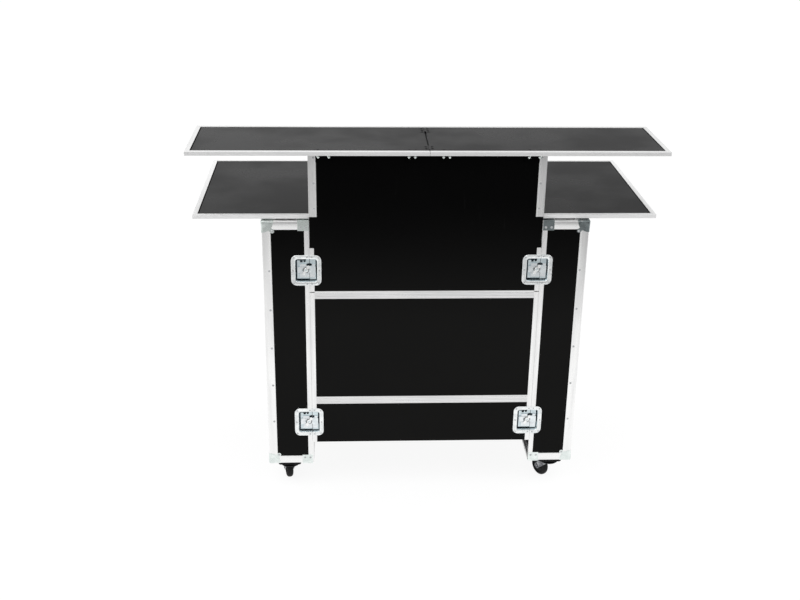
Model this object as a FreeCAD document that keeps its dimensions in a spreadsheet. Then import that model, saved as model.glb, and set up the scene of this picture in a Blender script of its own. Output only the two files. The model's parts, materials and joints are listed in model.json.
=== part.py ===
import FreeCAD, Part
import math
import os
import re
import Sketcher

# A folding bar made from a road case: the two case halves stand apart on casters, a two-part front panel
# is latched between them, a worktop lies on the halves and a high counter stands on the panel's top edge.
# X runs to the right as the customer sees it, Y away from the customer and Z up.
# The origin is on the floor, under the middle of the whole bar.

# Driving dimensions in millimetres
SIZES = {
    # Case halves
    "caster_height": 103,
    "case_width": 155.5,
    "case_depth": 690,
    "case_height": 916,
    "front_gap": 776,
    "board": 9,
    "skin": 1.5,
    "angle_leg": 30,
    # Closing profile round the open side of each half and along the panel's side edges
    "rim_flange": 15.5,
    "rim_inner_flange": 12,
    "rim_depth": 6,
    "tongue_height": 4,
    "tongue_play": 0.5,
    "tongue_shoulder": 2.5,
    "board_lip": 1.5,
    "seam_gap": 0.5,
    # Corners
    "ball_reach": 40,
    "tab_place": 35.5,
    "tab_radius": 7,
    "tab_root": 33,
    "ball_plate": 1.2,
    "ball_side": 22,
    "ball_proud": 3,
    "ball_radius": 6,
    "brace_length": 37,
    "brace_drop": 34,
    "brace_plate": 1.2,
    "brace_rivet": 9,
    "brace_rivet_drop": 23,
    # Rubber seat strips
    "seat_height": 3.5,
    "seat_width": 32,
    "seat_margin": 42,
    "seat_spacing": 34,
    "seat_inset": 16,
    # Front panel, heights above the bottom of the halves
    "panel_bottom": 85.5,
    "panel_joint": 663,
    "panel_top": 1159,
    "upper_strip": 27.5,
    "strip_lip": 3.5,
    "lower_strip": 28,
    "lower_strip_bottom": 239,
    "closing_top": 821,
    "upright_bottom": 930,
    "upright_flange": 26,
    # Recessed latches
    "upper_latch": 742,
    "lower_latch": 167,
    "dish_height": 107,
    "latch_width": 60.5,
    "keeper_width": 38.5,
    "dish_rim": 12.5,
    "dish_radius": 18.5,
    "pan_radius": 9,
    "pan_depth": 13,
    "dish_wall": 1.2,
    "pan_play": 0.5,
    "pivot_offset": 11.5,
    "pivot_radius": 4,
    "pivot_top": 1,
    "key_sink": 0.6,
    "wing_length": 40,
    "wing_width": 11,
    "wing_thickness": 2.4,
    "key_radius": 11,
    "key_thickness": 2.2,
    "key_play": 0.2,
    "hook_thickness": 2.6,
    "hook_width": 22,
    "hook_tail": 40,
    "hook_travel": 8.5,
    "hook_play": 0.5,
    "claw_length": 3,
    "claw_drop": 4,
    "claw_play": 1,
    "keeper_offset": 5,
    "keeper_bar": 4,
    "keeper_span": 28,
    "keeper_play": 0.3,
    "rail_width": 3,
    "rail_length": 32,
    "rail_offset": 3,
    # Counter and worktop
    "slab_width": 1534,
    "slab_thickness": 13.5,
    "worktop_thickness": 13.5,
    "edging_flange": 15,
    "edging_wall": 1.2,
    "fold_gap": 1,
    "counter_depth": 327,
    "counter_overhang": 83.5,
    "worktop_depth": 656,
    "worktop_setback": 12.5,
    # Fold hinges let into the top of both slabs
    "hinge_length": 50,
    "hinge_leaf": 20,
    "leaf_thickness": 2,
    "hinge_front_inset": 26,
    "hinge_rear_inset": 43,
    "fold_rise": 0.4,
    "knuckle_radius": 3,
    "knuckle_play": 0.3,
    "pin_radius": 1.5,
    "running_play": 0.05,
    "screw_radius": 2.6,
    "screw_sink": 1.4,
    "screw_pitch": 20,
    # Brackets and bolts under the counter
    "inner_bracket": 55,
    "inner_bracket_width": 34,
    "inner_bolt_pitch": 20,
    "outer_bracket": 335,
    "outer_bracket_width": 50,
    "outer_bolt_pitch": 34,
    "bracket_plate": 3,
    "bracket_reach": 72,
    "bracket_drop": 45,
    "bracket_play": 1,
    "bolt_setback": 54,
    "bolt_radius": 2.5,
    "bolt_head_radius": 4.5,
    "bolt_head": 1.6,
    "nut_radius": 4.6,
    "nut_height": 7,
    "bolt_play": 0.1,
    # Casters
    "caster_inset": 72,
    "caster_setback": 43,
    "plate_side": 80,
    "plate_thickness": 9,
    "plate_play": 0.5,
    "plate_radius": 8,
    "race_radius": 26,
    "race_height": 8,
    "race_play": 0.3,
    "crown_radius": 24,
    "crown_height": 4,
    "king_pin": 6,
    "king_nut": 9,
    "king_nut_height": 5,
    "trail": 42,
    "cheek": 2.5,
    "cheek_play": 1.2,
    "cheek_front": 20,
    "cheek_back": 23,
    "cheek_end": 12,
    "wheel_radius": 37.5,
    "wheel_width": 24,
    "hub_width": 26,
    "hub_radius": 13,
    "tyre_depth": 8,
    "web_sink": 4,
    "shoulder": 3.5,
    "axle_radius": 4,
    "axle_head_radius": 7,
    "axle_head": 4,
    "plate_bolt_radius": 6,
    "plate_bolt_height": 3,
    "plate_bolt_inset": 11,
    # Rivets
    "rivet_radius": 4,
    "rivet_height": 1.4,
    "rivet_inset": 8,
    "rivet_pitch": 142.5,
    "rivet_first": 170,
    "corner_rivet": 35.5,
    "upright_rivet": 29,
    "upright_rivet_pitch": 86,
    "dish_rivet_inset": 6,
    "dish_corner_rivet": 8.5,
    "dish_seam_rivet": 8,
    # Overrun of every cut past the face that it opens
    "overrun": 5,
}

# Turns of the four casters about their swivels, in degrees
SWIVELS = {"front_left": 10, "front_right": 31, "rear_left": -110, "rear_right": 160}

# Turn of the latch keys' wings from upright, in degrees
WING_TURN = 33

doc = FreeCAD.newDocument("portable_bar")
sheet = doc.addObject("Spreadsheet::Sheet", "sizes")
for row, (size_name, size_value) in enumerate(SIZES.items(), start=1):
    sheet.set(f"A{row}", str(size_value))
    sheet.setAlias(f"A{row}", size_name)
doc.recompute()

nodes = []


# Formulas and their values
def formula(text):
    """Point each size name in a formula at the sheet."""
    return re.sub(r"[a-z][a-z_]+", r"sizes.\g<0>", text)


def value(text):
    """The number that a formula gives now."""
    return float(sheet.evalExpression(formula(text)))


def span(face, way, near, far):
    """Low and high formulas of a stretch between two depths from a face, along or against its axis."""
    if way > 0:
        return (f"{face} + ({near})", f"{face} + ({far})")
    return (f"{face} - ({far})", f"{face} - ({near})")


# Faces that the pieces are measured from, each with the way into the piece
FRONT = "((counter_overhang - case_depth - ball_proud) / 2)"
BACK = f"({FRONT} + case_depth)"
FLOOR = "caster_height"
TOP = "(caster_height + case_height)"
RIM = "(front_gap / 2)"
OUTER = "(front_gap / 2 + case_width)"
PANEL = "(front_gap / 2 - seam_gap)"
SEAM = "(front_gap / 2 - seam_gap / 2)"
PANEL_BACK = f"({FRONT} + board + 2 * skin)"
COUNTER_UNDER = "(caster_height + panel_top)"
WORKTOP_UNDER = "(caster_height + case_height + seat_height)"
front_face = ("y", FRONT, 1)
back_face = ("y", BACK, -1)
floor_face = ("z", FLOOR, 1)
top_face = ("z", TOP, -1)
outer_faces = {"left": ("x", f"-{OUTER}", 1), "right": ("x", OUTER, -1)}
rim_faces = {"left": ("x", f"-{RIM}", -1), "right": ("x", RIM, 1)}
panel_faces = {"left": ("x", f"-{PANEL}", 1), "right": ("x", PANEL, -1)}
signs = {"left": -1, "right": 1}


# Building blocks
def slab(name, x, y, z):
    """A plain block between a low and a high formula on each axis."""
    box = doc.addObject("Part::Box", name)
    for side, place, (low, high) in zip(("Length", "Width", "Height"), "xyz", (x, y, z)):
        box.setExpression(side, formula(f"({high}) - ({low})"))
        box.setExpression(f"Placement.Base.{place}", formula(low))
    return box


def block(name, ranges):
    """A plain block from a table of axis and stretch."""
    return slab(name, ranges["x"], ranges["y"], ranges["z"])


ROD_TURNS = {
    "x": FreeCAD.Rotation(FreeCAD.Vector(0, 1, 0), 90),
    "y": FreeCAD.Rotation(FreeCAD.Vector(1, 0, 0), -90),
    "z": FreeCAD.Rotation(),
}


def rod(name, axis, centre, low, high, radius):
    """A round bar along an axis, between two formulas, with the other two places of its middle in order."""
    bar = doc.addObject("Part::Cylinder", name)
    bar.Placement.Rotation = ROD_TURNS[axis]
    places = dict(zip([a for a in "xyz" if a != axis], centre))
    places[axis] = low
    for place, text in places.items():
        bar.setExpression(f"Placement.Base.{place}", formula(text))
    bar.setExpression("Radius", formula(radius))
    bar.setExpression("Height", formula(f"({high}) - ({low})"))
    return bar


def fuse(name, pieces):
    """One solid from pieces that touch."""
    joined = doc.addObject("Part::MultiFuse", name)
    joined.Shapes = pieces
    joined.Refine = True
    return joined


def group(name, pieces):
    """Separate solids kept together under one name."""
    together = doc.addObject("Part::Compound", name)
    together.Links = pieces
    return together


def cut(name, base, tools):
    """A piece with other pieces taken out of it."""
    carved = doc.addObject("Part::Cut", name)
    carved.Base = base
    carved.Tool = tools[0] if len(tools) == 1 else fuse(f"{name}_tools", tools)
    return carved


def common(name, base, tool):
    """What two pieces share."""
    shared = doc.addObject("Part::Common", name)
    shared.Base = base
    shared.Tool = tool
    return shared


def node(name, piece):
    """Name a finished sub-part."""
    piece.Label = name
    nodes.append(piece)
    return piece


def hold_point(sketch, line, axis, text):
    """Fix one coordinate of a line's start to a formula."""
    if text == "0":
        sketch.addConstraint(Sketcher.Constraint("PointOnObject", line, 1, {"X": -2, "Y": -1}[axis]))
        return
    rule = Sketcher.Constraint(f"Distance{axis}", -1, 1, line, 1, value(text))
    index = sketch.addConstraint(rule)
    sketch.setExpression(f"Constraints[{index}]", formula(text))


def outline_sketch(body, name, points):
    """A closed outline of straight lines through points given as pairs of formulas, none of them negative."""
    sketch = body.newObject("Sketcher::SketchObject", name)
    plane = [part for part in body.Origin.OriginFeatures if part.Role == "XY_Plane"][0]
    sketch.AttachmentSupport = (plane, "")
    sketch.MapMode = "FlatFace"
    spots = [FreeCAD.Vector(value(u), value(v), 0) for u, v in points]
    count = len(spots)
    for line in range(count):
        sketch.addGeometry(Part.LineSegment(spots[line], spots[(line + 1) % count]))
    for line in range(count):
        sketch.addConstraint(Sketcher.Constraint("Coincident", line, 2, (line + 1) % count, 1))
    for line, (u, v) in enumerate(points):
        hold_point(sketch, line, "X", u)
        hold_point(sketch, line, "Y", v)
    return sketch


def place_body(body, base, turn):
    """Set a body's corner from three formulas and its turn."""
    body.Placement.Rotation = turn
    for place, text in zip("xyz", base):
        body.setExpression(f"Placement.Base.{place}", formula(text))


def padded_outline(name, points, depth, base, turn):
    """A body whose outline is padded to a depth and then placed."""
    body = doc.addObject("PartDesign::Body", name)
    sketch = outline_sketch(body, f"{name}_outline", points)
    pad = body.newObject("PartDesign::Pad", f"{name}_pad")
    pad.Profile = sketch
    pad.setExpression("Length", formula(depth))
    body.Tip = pad
    place_body(body, base, turn)
    return body


# The turns lay a body's own XY plane on the row's XY, XZ or YZ plane
FLAT = FreeCAD.Rotation()
FACING_FRONT = FreeCAD.Rotation(FreeCAD.Vector(1, 0, 0), 90)
SIDE_AXES = (FreeCAD.Vector(0, 1, 0), FreeCAD.Vector(0, 0, 1), FreeCAD.Vector(1, 0, 0))
FACING_SIDE = FreeCAD.Rotation(*SIDE_AXES, "XYZ")


def rounded_block(name, x, y, z, radius, through):
    """A block whose four edges along one axis are rounded."""
    if through == "y":
        base, turn, across, up, deep = (x[0], y[1], z[0]), FACING_FRONT, x, z, y
    else:
        base, turn, across, up, deep = (x[0], y[0], z[0]), FLAT, x, y, z
    width = f"({across[1]}) - ({across[0]})"
    height = f"({up[1]}) - ({up[0]})"
    points = [("0", "0"), (width, "0"), (width, height), ("0", height)]
    body = padded_outline(name, points, f"({deep[1]}) - ({deep[0]})", base, turn)
    doc.recompute()
    pad = body.Tip
    depth = value(f"({deep[1]}) - ({deep[0]})")
    edges = []
    for index, edge in enumerate(pad.Shape.Edges, start=1):
        rise = edge.Vertexes[-1].Point.z - edge.Vertexes[0].Point.z
        if math.isclose(abs(rise), depth):
            edges.append(f"Edge{index}")
    rounding = body.newObject("PartDesign::Fillet", f"{name}_rounding")
    rounding.Base = (pad, edges)
    rounding.setExpression("Radius", formula(radius))
    body.Tip = rounding
    return body


# Openings for the latch pans in the boards and profiles that they pass through
LATCH_HEIGHTS = {"upper": "(caster_height + upper_latch)", "lower": "(caster_height + lower_latch)"}
SEAMS = {"left": f"-{SEAM}", "right": SEAM}


def pan_span(side, play):
    """X stretch of a latch pan with play on both sides."""
    low = f"{SEAMS[side]} - latch_width + dish_rim - ({play})"
    high = f"{SEAMS[side]} + keeper_width - dish_rim + ({play})"
    return (low, high)


def pan_rise(level, play):
    """Z stretch of a latch pan with play above and below."""
    half = f"(dish_height / 2 - dish_rim + ({play}))"
    return (f"{LATCH_HEIGHTS[level]} - {half}", f"{LATCH_HEIGHTS[level]} + {half}")


def pan_openings(sides, levels):
    """Cutters for latch pans."""
    depth = span(FRONT, 1, "-overrun", "pan_depth + dish_wall + overrun")
    cutters = []
    for side in sides:
        for level in levels:
            rise = pan_rise(level, "pan_play")
            cutters.append(slab("pan_opening", pan_span(side, "pan_play"), depth, rise))
    return cutters


# Case halves: five laminated boards each, open towards the other half
for side in ("left", "right"):
    _, outer, inward = outer_faces[side]
    _, rim, into_case = rim_faces[side]
    board_x = span(rim, into_case, "rim_depth", "case_width - skin - board")
    full_y = (f"{FRONT} + skin", f"{BACK} - skin")
    between_y = (f"{FRONT} + skin + board", f"{BACK} - skin - board")
    full_z = (f"{FLOOR} + skin", f"{TOP} - skin")
    node(f"{side}_outer_board", slab("outer", span(outer, inward, "skin", "skin + board"), full_y, full_z))
    front = slab("front", board_x, span(FRONT, 1, "skin", "skin + board"), full_z)
    node(f"{side}_front_board", cut("front_cut", front, pan_openings([side], ["upper", "lower"])))
    node(f"{side}_rear_board", slab("rear", board_x, span(BACK, -1, "skin", "skin + board"), full_z))
    node(f"{side}_top_board", slab("top", board_x, between_y, span(TOP, -1, "skin", "skin + board")))
    node(f"{side}_bottom_board", slab("bottom", board_x, between_y, span(FLOOR, 1, "skin", "skin + board")))


# Aluminium edge angles along the outer edges of each half
def angle(name, run, first, second):
    """An L of two flanges that lies on two faces and runs along the third axis."""
    flanges = []
    for (on_axis, on_face, on_way), (to_axis, to_face, to_way) in ((first, second), (second, first)):
        ranges = dict([run])
        ranges[on_axis] = span(on_face, on_way, "0", "skin")
        ranges[to_axis] = span(to_face, to_way, "0", "angle_leg")
        flanges.append(block(f"{name}_flange", ranges))
    return fuse(name, flanges)


for side in ("left", "right"):
    outer_face = outer_faces[side]
    _, rim, into_case = rim_faces[side]
    across = ("x", span(rim, into_case, "rim_flange", "case_width - angle_leg"))
    along = ("y", (f"{FRONT} + angle_leg", f"{BACK} - angle_leg"))
    upright = ("z", (FLOOR, TOP))
    angles = [angle("upright_angle", upright, outer_face, end) for end in (front_face, back_face)]
    angles += [angle("long_angle", along, outer_face, level) for level in (floor_face, top_face)]
    for end in (front_face, back_face):
        angles += [angle("cross_angle", across, end, level) for level in (floor_face, top_face)]
    node(f"{side}_edge_angles", group("edge_angles", angles))


# Closing profiles: a tongue on one side of each seam and a groove on the other
def closing_profile(name, run, inner_run, face, rim, tongued):
    """A profile that caps a board's edge, with a flange on each face of the board."""
    run_axis = run[0]
    face_axis, face_place, face_way = face
    rim_axis, rim_place, rim_way = rim
    bars = [
        (run[1], ("0", "skin"), ("0", "rim_flange")),
        (inner_run, ("skin + board", "2 * skin + board"), ("0", "rim_inner_flange")),
        (run[1], ("skin", "skin + board"), ("rim_depth - skin", "rim_depth")),
        (inner_run, ("skin", "skin + board"), ("rim_depth - skin", "rim_depth")),
    ]
    if tongued:
        bars.append((run[1], ("skin", "skin + board"), ("0", "skin")))
        tongue = ("skin + tongue_shoulder", "skin + board - tongue_shoulder")
        bars.append((run[1], tongue, ("-tongue_height", "0")))
        bars.append((run[1], tongue, ("skin", "rim_depth - skin")))
    pieces = []
    for length, depth, width in bars:
        ranges = {
            run_axis: length,
            face_axis: span(face_place, face_way, *depth),
            rim_axis: span(rim_place, rim_way, *width),
        }
        pieces.append(block(f"{name}_bar", ranges))
    return fuse(name, pieces)


for side in ("left", "right"):
    rim = rim_faces[side]
    tongued = side == "left"
    upright = ("z", (FLOOR, TOP))
    inside_z = (f"{FLOOR} + 2 * skin + board", f"{TOP} - 2 * skin - board")
    inside_y = (f"{FRONT} + skin + board", f"{BACK} - skin - board")
    front = closing_profile("closing_front", upright, inside_z, front_face, rim, tongued)
    profiles = [cut("closing_front_cut", front, pan_openings([side], ["upper", "lower"]))]
    profiles.append(closing_profile("closing_rear", upright, inside_z, back_face, rim, tongued))
    for level in (floor_face, top_face):
        profiles.append(closing_profile("closing_long", ("y", inside_y), inside_y, level, rim, tongued))
    node(f"{side}_closing_frame", group("closing_frame", profiles))


# Room for the caster plates, which the corners under the case are cut back from
def swivel_place(place):
    """X and Y of a caster's swivel axis."""
    end, side = place.split("_")
    x = f"({signs[side]}) * ({OUTER} - caster_inset)"
    y = f"({FRONT} + caster_setback)" if end == "front" else f"({BACK} - caster_setback)"
    return x, y


def plate_room(place, play):
    """X and Y stretches of a caster plate with play all round."""
    x, y = swivel_place(place)
    half = f"(plate_side / 2 + {play})"
    return (f"{x} - {half}", f"{x} + {half}"), (f"{y} - {half}", f"{y} + {half}")


def clear_plate(name, piece, end, side):
    """A piece under the case cut back from the caster plate beside it."""
    place = f"{end}_{side}"
    room_x, room_y = plate_room(place, "plate_play")
    room_z = (f"{FLOOR} - plate_thickness", FLOOR)
    return cut(name, piece, [slab("plate_room", room_x, room_y, room_z)])


ENDS = {"front": front_face, "rear": back_face}


# Ball corners: three petals and a rounded cap pressed from one sheet, over each outer corner
def soft_block(name, ranges, radius):
    """A block with every edge rounded."""
    soft = doc.addObject("Part::Fillet", name)
    soft.Base = block(f"{name}_block", ranges)
    doc.recompute()
    size = value(radius)
    soft.Edges = [(edge, size, size) for edge in range(1, len(soft.Base.Shape.Edges) + 1)]
    return soft


def ball_corner(faces):
    """A cap over the corner where three faces meet."""
    pieces = []
    for face in faces:
        axis, place, way = face
        others = [other for other in faces if other != face]
        low, high = span(place, way, "-ball_plate", "0")
        ranges = {axis: (low, high)}
        for other, spot, side_way in others:
            ranges[other] = span(spot, side_way, "-ball_plate", "ball_reach")
        middle = [spot for other, spot, side_way in others]
        disc = rod("petal_disc", axis, middle, low, high, "ball_reach")
        pieces.append(common("petal", disc, block("petal_quarter", ranges)))
        root = {axis: (low, high)}
        tab = []
        for other, spot, side_way in others:
            root[other] = span(spot, side_way, "0", "tab_root")
            tab.append(f"{spot} + ({side_way}) * tab_place")
        pieces.append(block("petal_root", root))
        pieces.append(rod("petal_tab", axis, tab, low, high, "tab_radius"))
    cap = {axis: span(place, way, "-ball_proud", "ball_side") for axis, place, way in faces}
    inside = {axis: span(place, way, "0", "2 * ball_reach") for axis, place, way in faces}
    pieces.append(cut("corner_cap", soft_block("cap", cap, "ball_radius"), [block("case_corner", inside)]))
    return fuse("ball_corner", pieces)


corners = []
for side in ("left", "right"):
    for end, end_face in ENDS.items():
        corners.append(ball_corner((outer_faces[side], end_face, top_face)))
        lower_corner = ball_corner((outer_faces[side], end_face, floor_face))
        corners.append(clear_plate("lower_corner", lower_corner, end, side))
node("ball_corners", group("ball_corner_set", corners))

# Corner braces: a plate folded over the edge at each corner of the open side
braces = []
for side in ("left", "right"):
    for _, end_place, end_way in (front_face, back_face):
        for _, level_place, level_way in (floor_face, top_face):
            _, rim, into_case = rim_faces[side]
            length = span(rim, into_case, "0", "brace_length")
            on_face = span(end_place, end_way, "-brace_plate", "0")
            on_level = span(level_place, level_way, "-brace_plate", "0")
            upright_z = span(level_place, level_way, "-brace_plate", "brace_drop")
            flat_y = span(end_place, end_way, "-brace_plate", "brace_drop")
            plates = [
                slab("brace_upright", length, on_face, upright_z),
                slab("brace_flat", length, flat_y, on_level),
            ]
            braces.append(fuse("corner_brace", plates))
node("corner_braces", group("corner_brace_set", braces))

# Rubber seat strips on the top of each half: bedded on the board and carried on over the cross angles
strips = []
for side in ("left", "right"):
    _, rim, into_case = rim_faces[side]
    for start in ("seat_margin", "seat_margin + seat_spacing"):
        width = span(rim, into_case, start, f"{start} + seat_width")
        bed_y = (f"{FRONT} + angle_leg", f"{BACK} - angle_leg")
        run_y = (f"{FRONT} + seat_inset", f"{BACK} - seat_inset")
        strips.append(fuse("seat_strip", [
            slab("seat_bed", width, bed_y, (f"{TOP} - skin", TOP)),
            slab("seat_run", width, run_y, (TOP, f"{TOP} + seat_height")),
        ]))
node("worktop_seat_strips", group("seat_strip_set", strips))

# Front panel: two boards, one above the other
PANEL_DEPTH = span(FRONT, 1, "skin", "skin + board")
JOINT = f"({FLOOR} + panel_joint)"
CLOSING_TOP = f"({FLOOR} + closing_top)"
every_pan = pan_openings(["left", "right"], ["upper", "lower"])
lower_x = (f"-({PANEL} - rim_depth)", f"{PANEL} - rim_depth")
lower = slab("lower", lower_x, PANEL_DEPTH, (f"{FLOOR} + panel_bottom", f"{JOINT} - skin"))
node("lower_front_board", cut("lower_cut", lower, every_pan))
upper_x = (f"-({PANEL} - skin)", f"{PANEL} - skin")
upper = slab("upper", upper_x, PANEL_DEPTH, (JOINT, COUNTER_UNDER))
profile_rooms = []
for side in ("left", "right"):
    _, panel, into_panel = panel_faces[side]
    room_y = span(FRONT, 1, "-overrun", "board + overrun")
    profile_x = span(panel, into_panel, "-overrun", "rim_depth")
    profile_rooms.append(slab("profile_room", profile_x, room_y, (f"{JOINT} - overrun", CLOSING_TOP)))
    tongue_x = span(panel, into_panel, "-overrun", "tongue_height + tongue_play")
    tongue_y = span(FRONT, 1, "skin + board_lip", "board + overrun")
    profile_rooms.append(slab("tongue_room", tongue_x, tongue_y, (CLOSING_TOP, f"{FLOOR} + upright_bottom")))
node("upper_front_board", cut("upper_cut", upper, every_pan + profile_rooms))

# Closing profiles on the panel's side edges, one length on each board
profiles = []
for side in ("left", "right"):
    for run in ((f"{FLOOR} + panel_bottom", JOINT), (JOINT, CLOSING_TOP)):
        edge = panel_faces[side]
        profile = closing_profile("panel_profile", ("z", run), run, front_face, edge, side == "right")
        profiles.append(cut("panel_profile_cut", profile, every_pan))
node("panel_closing_profiles", group("panel_profile_set", profiles))

# Joint strips: a channel over the lower board with a lip over the joint, and a flat strip lower down
strip_x = (f"-({PANEL} - rim_flange)", f"{PANEL} - rim_flange")
strip_z = (f"{JOINT} + strip_lip - upper_strip", f"{JOINT} + strip_lip")
rear_z = (f"{JOINT} + strip_lip - upper_strip", JOINT)
channel = [
    slab("strip_front", strip_x, span(FRONT, 1, "0", "skin"), strip_z),
    slab("strip_top", strip_x, span(FRONT, 1, "0", "2 * skin + board"), (f"{JOINT} - skin", JOINT)),
    slab("strip_rear", strip_x, span(FRONT, 1, "skin + board", "2 * skin + board"), rear_z),
]
node("upper_joint_strip", fuse("upper_strip_channel", channel))
low_z = (f"{FLOOR} + lower_strip_bottom", f"{FLOOR} + lower_strip_bottom + lower_strip")
node("lower_joint_strip", slab("lower_strip_bar", strip_x, span(FRONT, 1, "0", "skin"), low_z))

# Side profiles: channels on the upper board's edges, from the worktop to the counter
channels = []
for side in ("left", "right"):
    _, panel, into_panel = panel_faces[side]
    flange = span(panel, into_panel, "0", "upright_flange")
    run = (f"{FLOOR} + upright_bottom", COUNTER_UNDER)
    channels.append(fuse("side_profile", [
        slab("side_front", flange, span(FRONT, 1, "0", "skin"), run),
        slab("side_web", span(panel, into_panel, "0", "skin"), span(FRONT, 1, "0", "2 * skin + board"), run),
        slab("side_rear", flange, span(FRONT, 1, "skin + board", "2 * skin + board"), run),
    ]))
node("upper_side_profiles", group("side_profile_set", channels))

# Recessed latches, each in a dish that is split at the seam
PIVOT_TOP = f"({FRONT} + pivot_top)"
PAN_FLOOR = f"({FRONT} + pan_depth)"
KEY_BACK = f"({FRONT} + key_sink + wing_thickness + key_thickness)"
HOOK_FACE = f"({KEY_BACK} + key_play)"
HOOK_BACK = f"({HOOK_FACE} + hook_thickness)"


def whole_dish(side, level):
    """A pressed dish with a flat rim, before it is split."""
    height = LATCH_HEIGHTS[level]
    rim_x = (f"{SEAMS[side]} - latch_width", f"{SEAMS[side]} + keeper_width")
    rim_z = (f"{height} - dish_height / 2", f"{height} + dish_height / 2")
    rim = rounded_block("dish_rim", rim_x, span(FRONT, 1, "-dish_wall", "0"), rim_z, "dish_radius", "y")
    outer_y = span(FRONT, 1, "-dish_wall", "pan_depth + dish_wall")
    outside = rounded_block("pan_outside", pan_span(side, "0"), outer_y, pan_rise(level, "0"),
                            "pan_radius", "y")
    inner_y = span(FRONT, 1, "-overrun", "pan_depth")
    inside = rounded_block("pan_inside", pan_span(side, "-dish_wall"), inner_y, pan_rise(level, "-dish_wall"),
                           "pan_radius - dish_wall", "y")
    return cut("dish", fuse("dish_solid", [rim, outside]), [inside])


def half_dish(dish, side, level, x):
    """The part of a dish on one side of the seam."""
    height = LATCH_HEIGHTS[level]
    depth = span(FRONT, 1, "-overrun", "pan_depth + overrun")
    rise = (f"{height} - dish_height", f"{height} + dish_height")
    return common("half_dish", dish, slab("dish_side", x, depth, rise))


latch_dishes = {"left": [], "right": []}
keeper_dishes = {"left": [], "right": []}
for side in ("left", "right"):
    seam = SEAMS[side]
    for level in ("upper", "lower"):
        height = LATCH_HEIGHTS[level]
        pivot = f"({seam} - pivot_offset)"
        dish = whole_dish(side, level)
        latch_half = half_dish(dish, side, level, (f"{seam} - 2 * latch_width", f"{seam} - seam_gap / 2"))
        pieces = [latch_half, rod("pivot", "y", (pivot, height), PIVOT_TOP, PAN_FLOOR, "pivot_radius")]
        for way in (1, -1):
            rail_z = span(height, way, "hook_width / 2 - rail_width", "hook_width / 2")
            rail_x = (f"{seam} - rail_offset - rail_length", f"{seam} - rail_offset")
            pieces.append(slab("rail", rail_x, (HOOK_BACK, PAN_FLOOR), rail_z))
        latch_dishes[side].append(fuse("latch_dish", pieces))

        keeper_half = half_dish(dish, side, level, (f"{seam} + seam_gap / 2", f"{seam} + 2 * keeper_width"))
        bar_x = (f"{seam} + keeper_offset", f"{seam} + keeper_offset + keeper_bar")
        bar_z = (f"{height} - keeper_span / 2", f"{height} + keeper_span / 2")
        bar = slab("keeper_bar", bar_x, (f"{HOOK_BACK} + keeper_play", PAN_FLOOR), bar_z)
        keeper_dishes[side].append(fuse("keeper_dish", [keeper_half, bar]))

        key_y = (f"{KEY_BACK} - key_thickness", KEY_BACK)
        wing_x = ("-wing_width / 2", "wing_width / 2")
        wing_z = ("-wing_length / 2", "wing_length / 2")
        wing_y = ("0", "wing_thickness")
        upright = rounded_block("upright_wing", wing_x, wing_y, wing_z, "wing_width / 3", "y")
        wing = group("wing", [upright])
        place_body(wing, (pivot, f"{FRONT} + key_sink", height),
                   FreeCAD.Rotation(FreeCAD.Vector(0, 1, 0), WING_TURN))
        disc = rod("key_disc", "y", (pivot, height), *key_y, "key_radius")
        bore = rod("key_bore", "y", (pivot, height), f"{FRONT} - overrun", f"{KEY_BACK} + overrun",
                   "pivot_radius + running_play")
        node(f"{side}_{level}_latch_key", cut("latch_key", fuse("key_solid", [disc, wing]), [bore]))

        claw_start = "(keeper_offset + keeper_bar + claw_play)"
        hook_z = (f"{height} - hook_width / 2", f"{height} + hook_width / 2")
        plate_x = (f"{seam} - hook_tail", f"{seam} + {claw_start} + claw_length")
        plate = slab("hook_plate", plate_x, (HOOK_FACE, HOOK_BACK), hook_z)
        claw_x = (f"{seam} + {claw_start}", f"{seam} + {claw_start} + claw_length")
        claw = slab("claw", claw_x, (HOOK_FACE, f"{HOOK_BACK} + claw_drop"), hook_z)
        reach = "(pivot_radius + hook_play)"
        slot_x = (f"{pivot} - {reach} - hook_travel", f"{pivot} + {reach}")
        slot_z = (f"{height} - {reach}", f"{height} + {reach}")
        slot = slab("slot", slot_x, (f"{HOOK_FACE} - overrun", f"{HOOK_BACK} + overrun"), slot_z)
        node(f"{side}_{level}_latch_hook", cut("latch_hook", fuse("hook_solid", [plate, claw]), [slot]))
node("case_latch_dishes", group("case_latch_dish_set", latch_dishes["left"]))
node("panel_keeper_dishes", group("panel_keeper_dish_set", keeper_dishes["left"]))
node("panel_latch_dishes", group("panel_latch_dish_set", latch_dishes["right"]))
node("case_keeper_dishes", group("case_keeper_dish_set", keeper_dishes["right"]))


# Counter and worktop: two boards each, with channel edging and hinges let into the top at the fold
SLAB_END = "(slab_width / 2)"


def hinge_middles(front, depth):
    """Y of the two hinges of a slab."""
    field_end = f"{front} + {depth} - edging_flange"
    return (f"({front} + edging_flange + hinge_front_inset)", f"({field_end} - hinge_rear_inset)")


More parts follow.
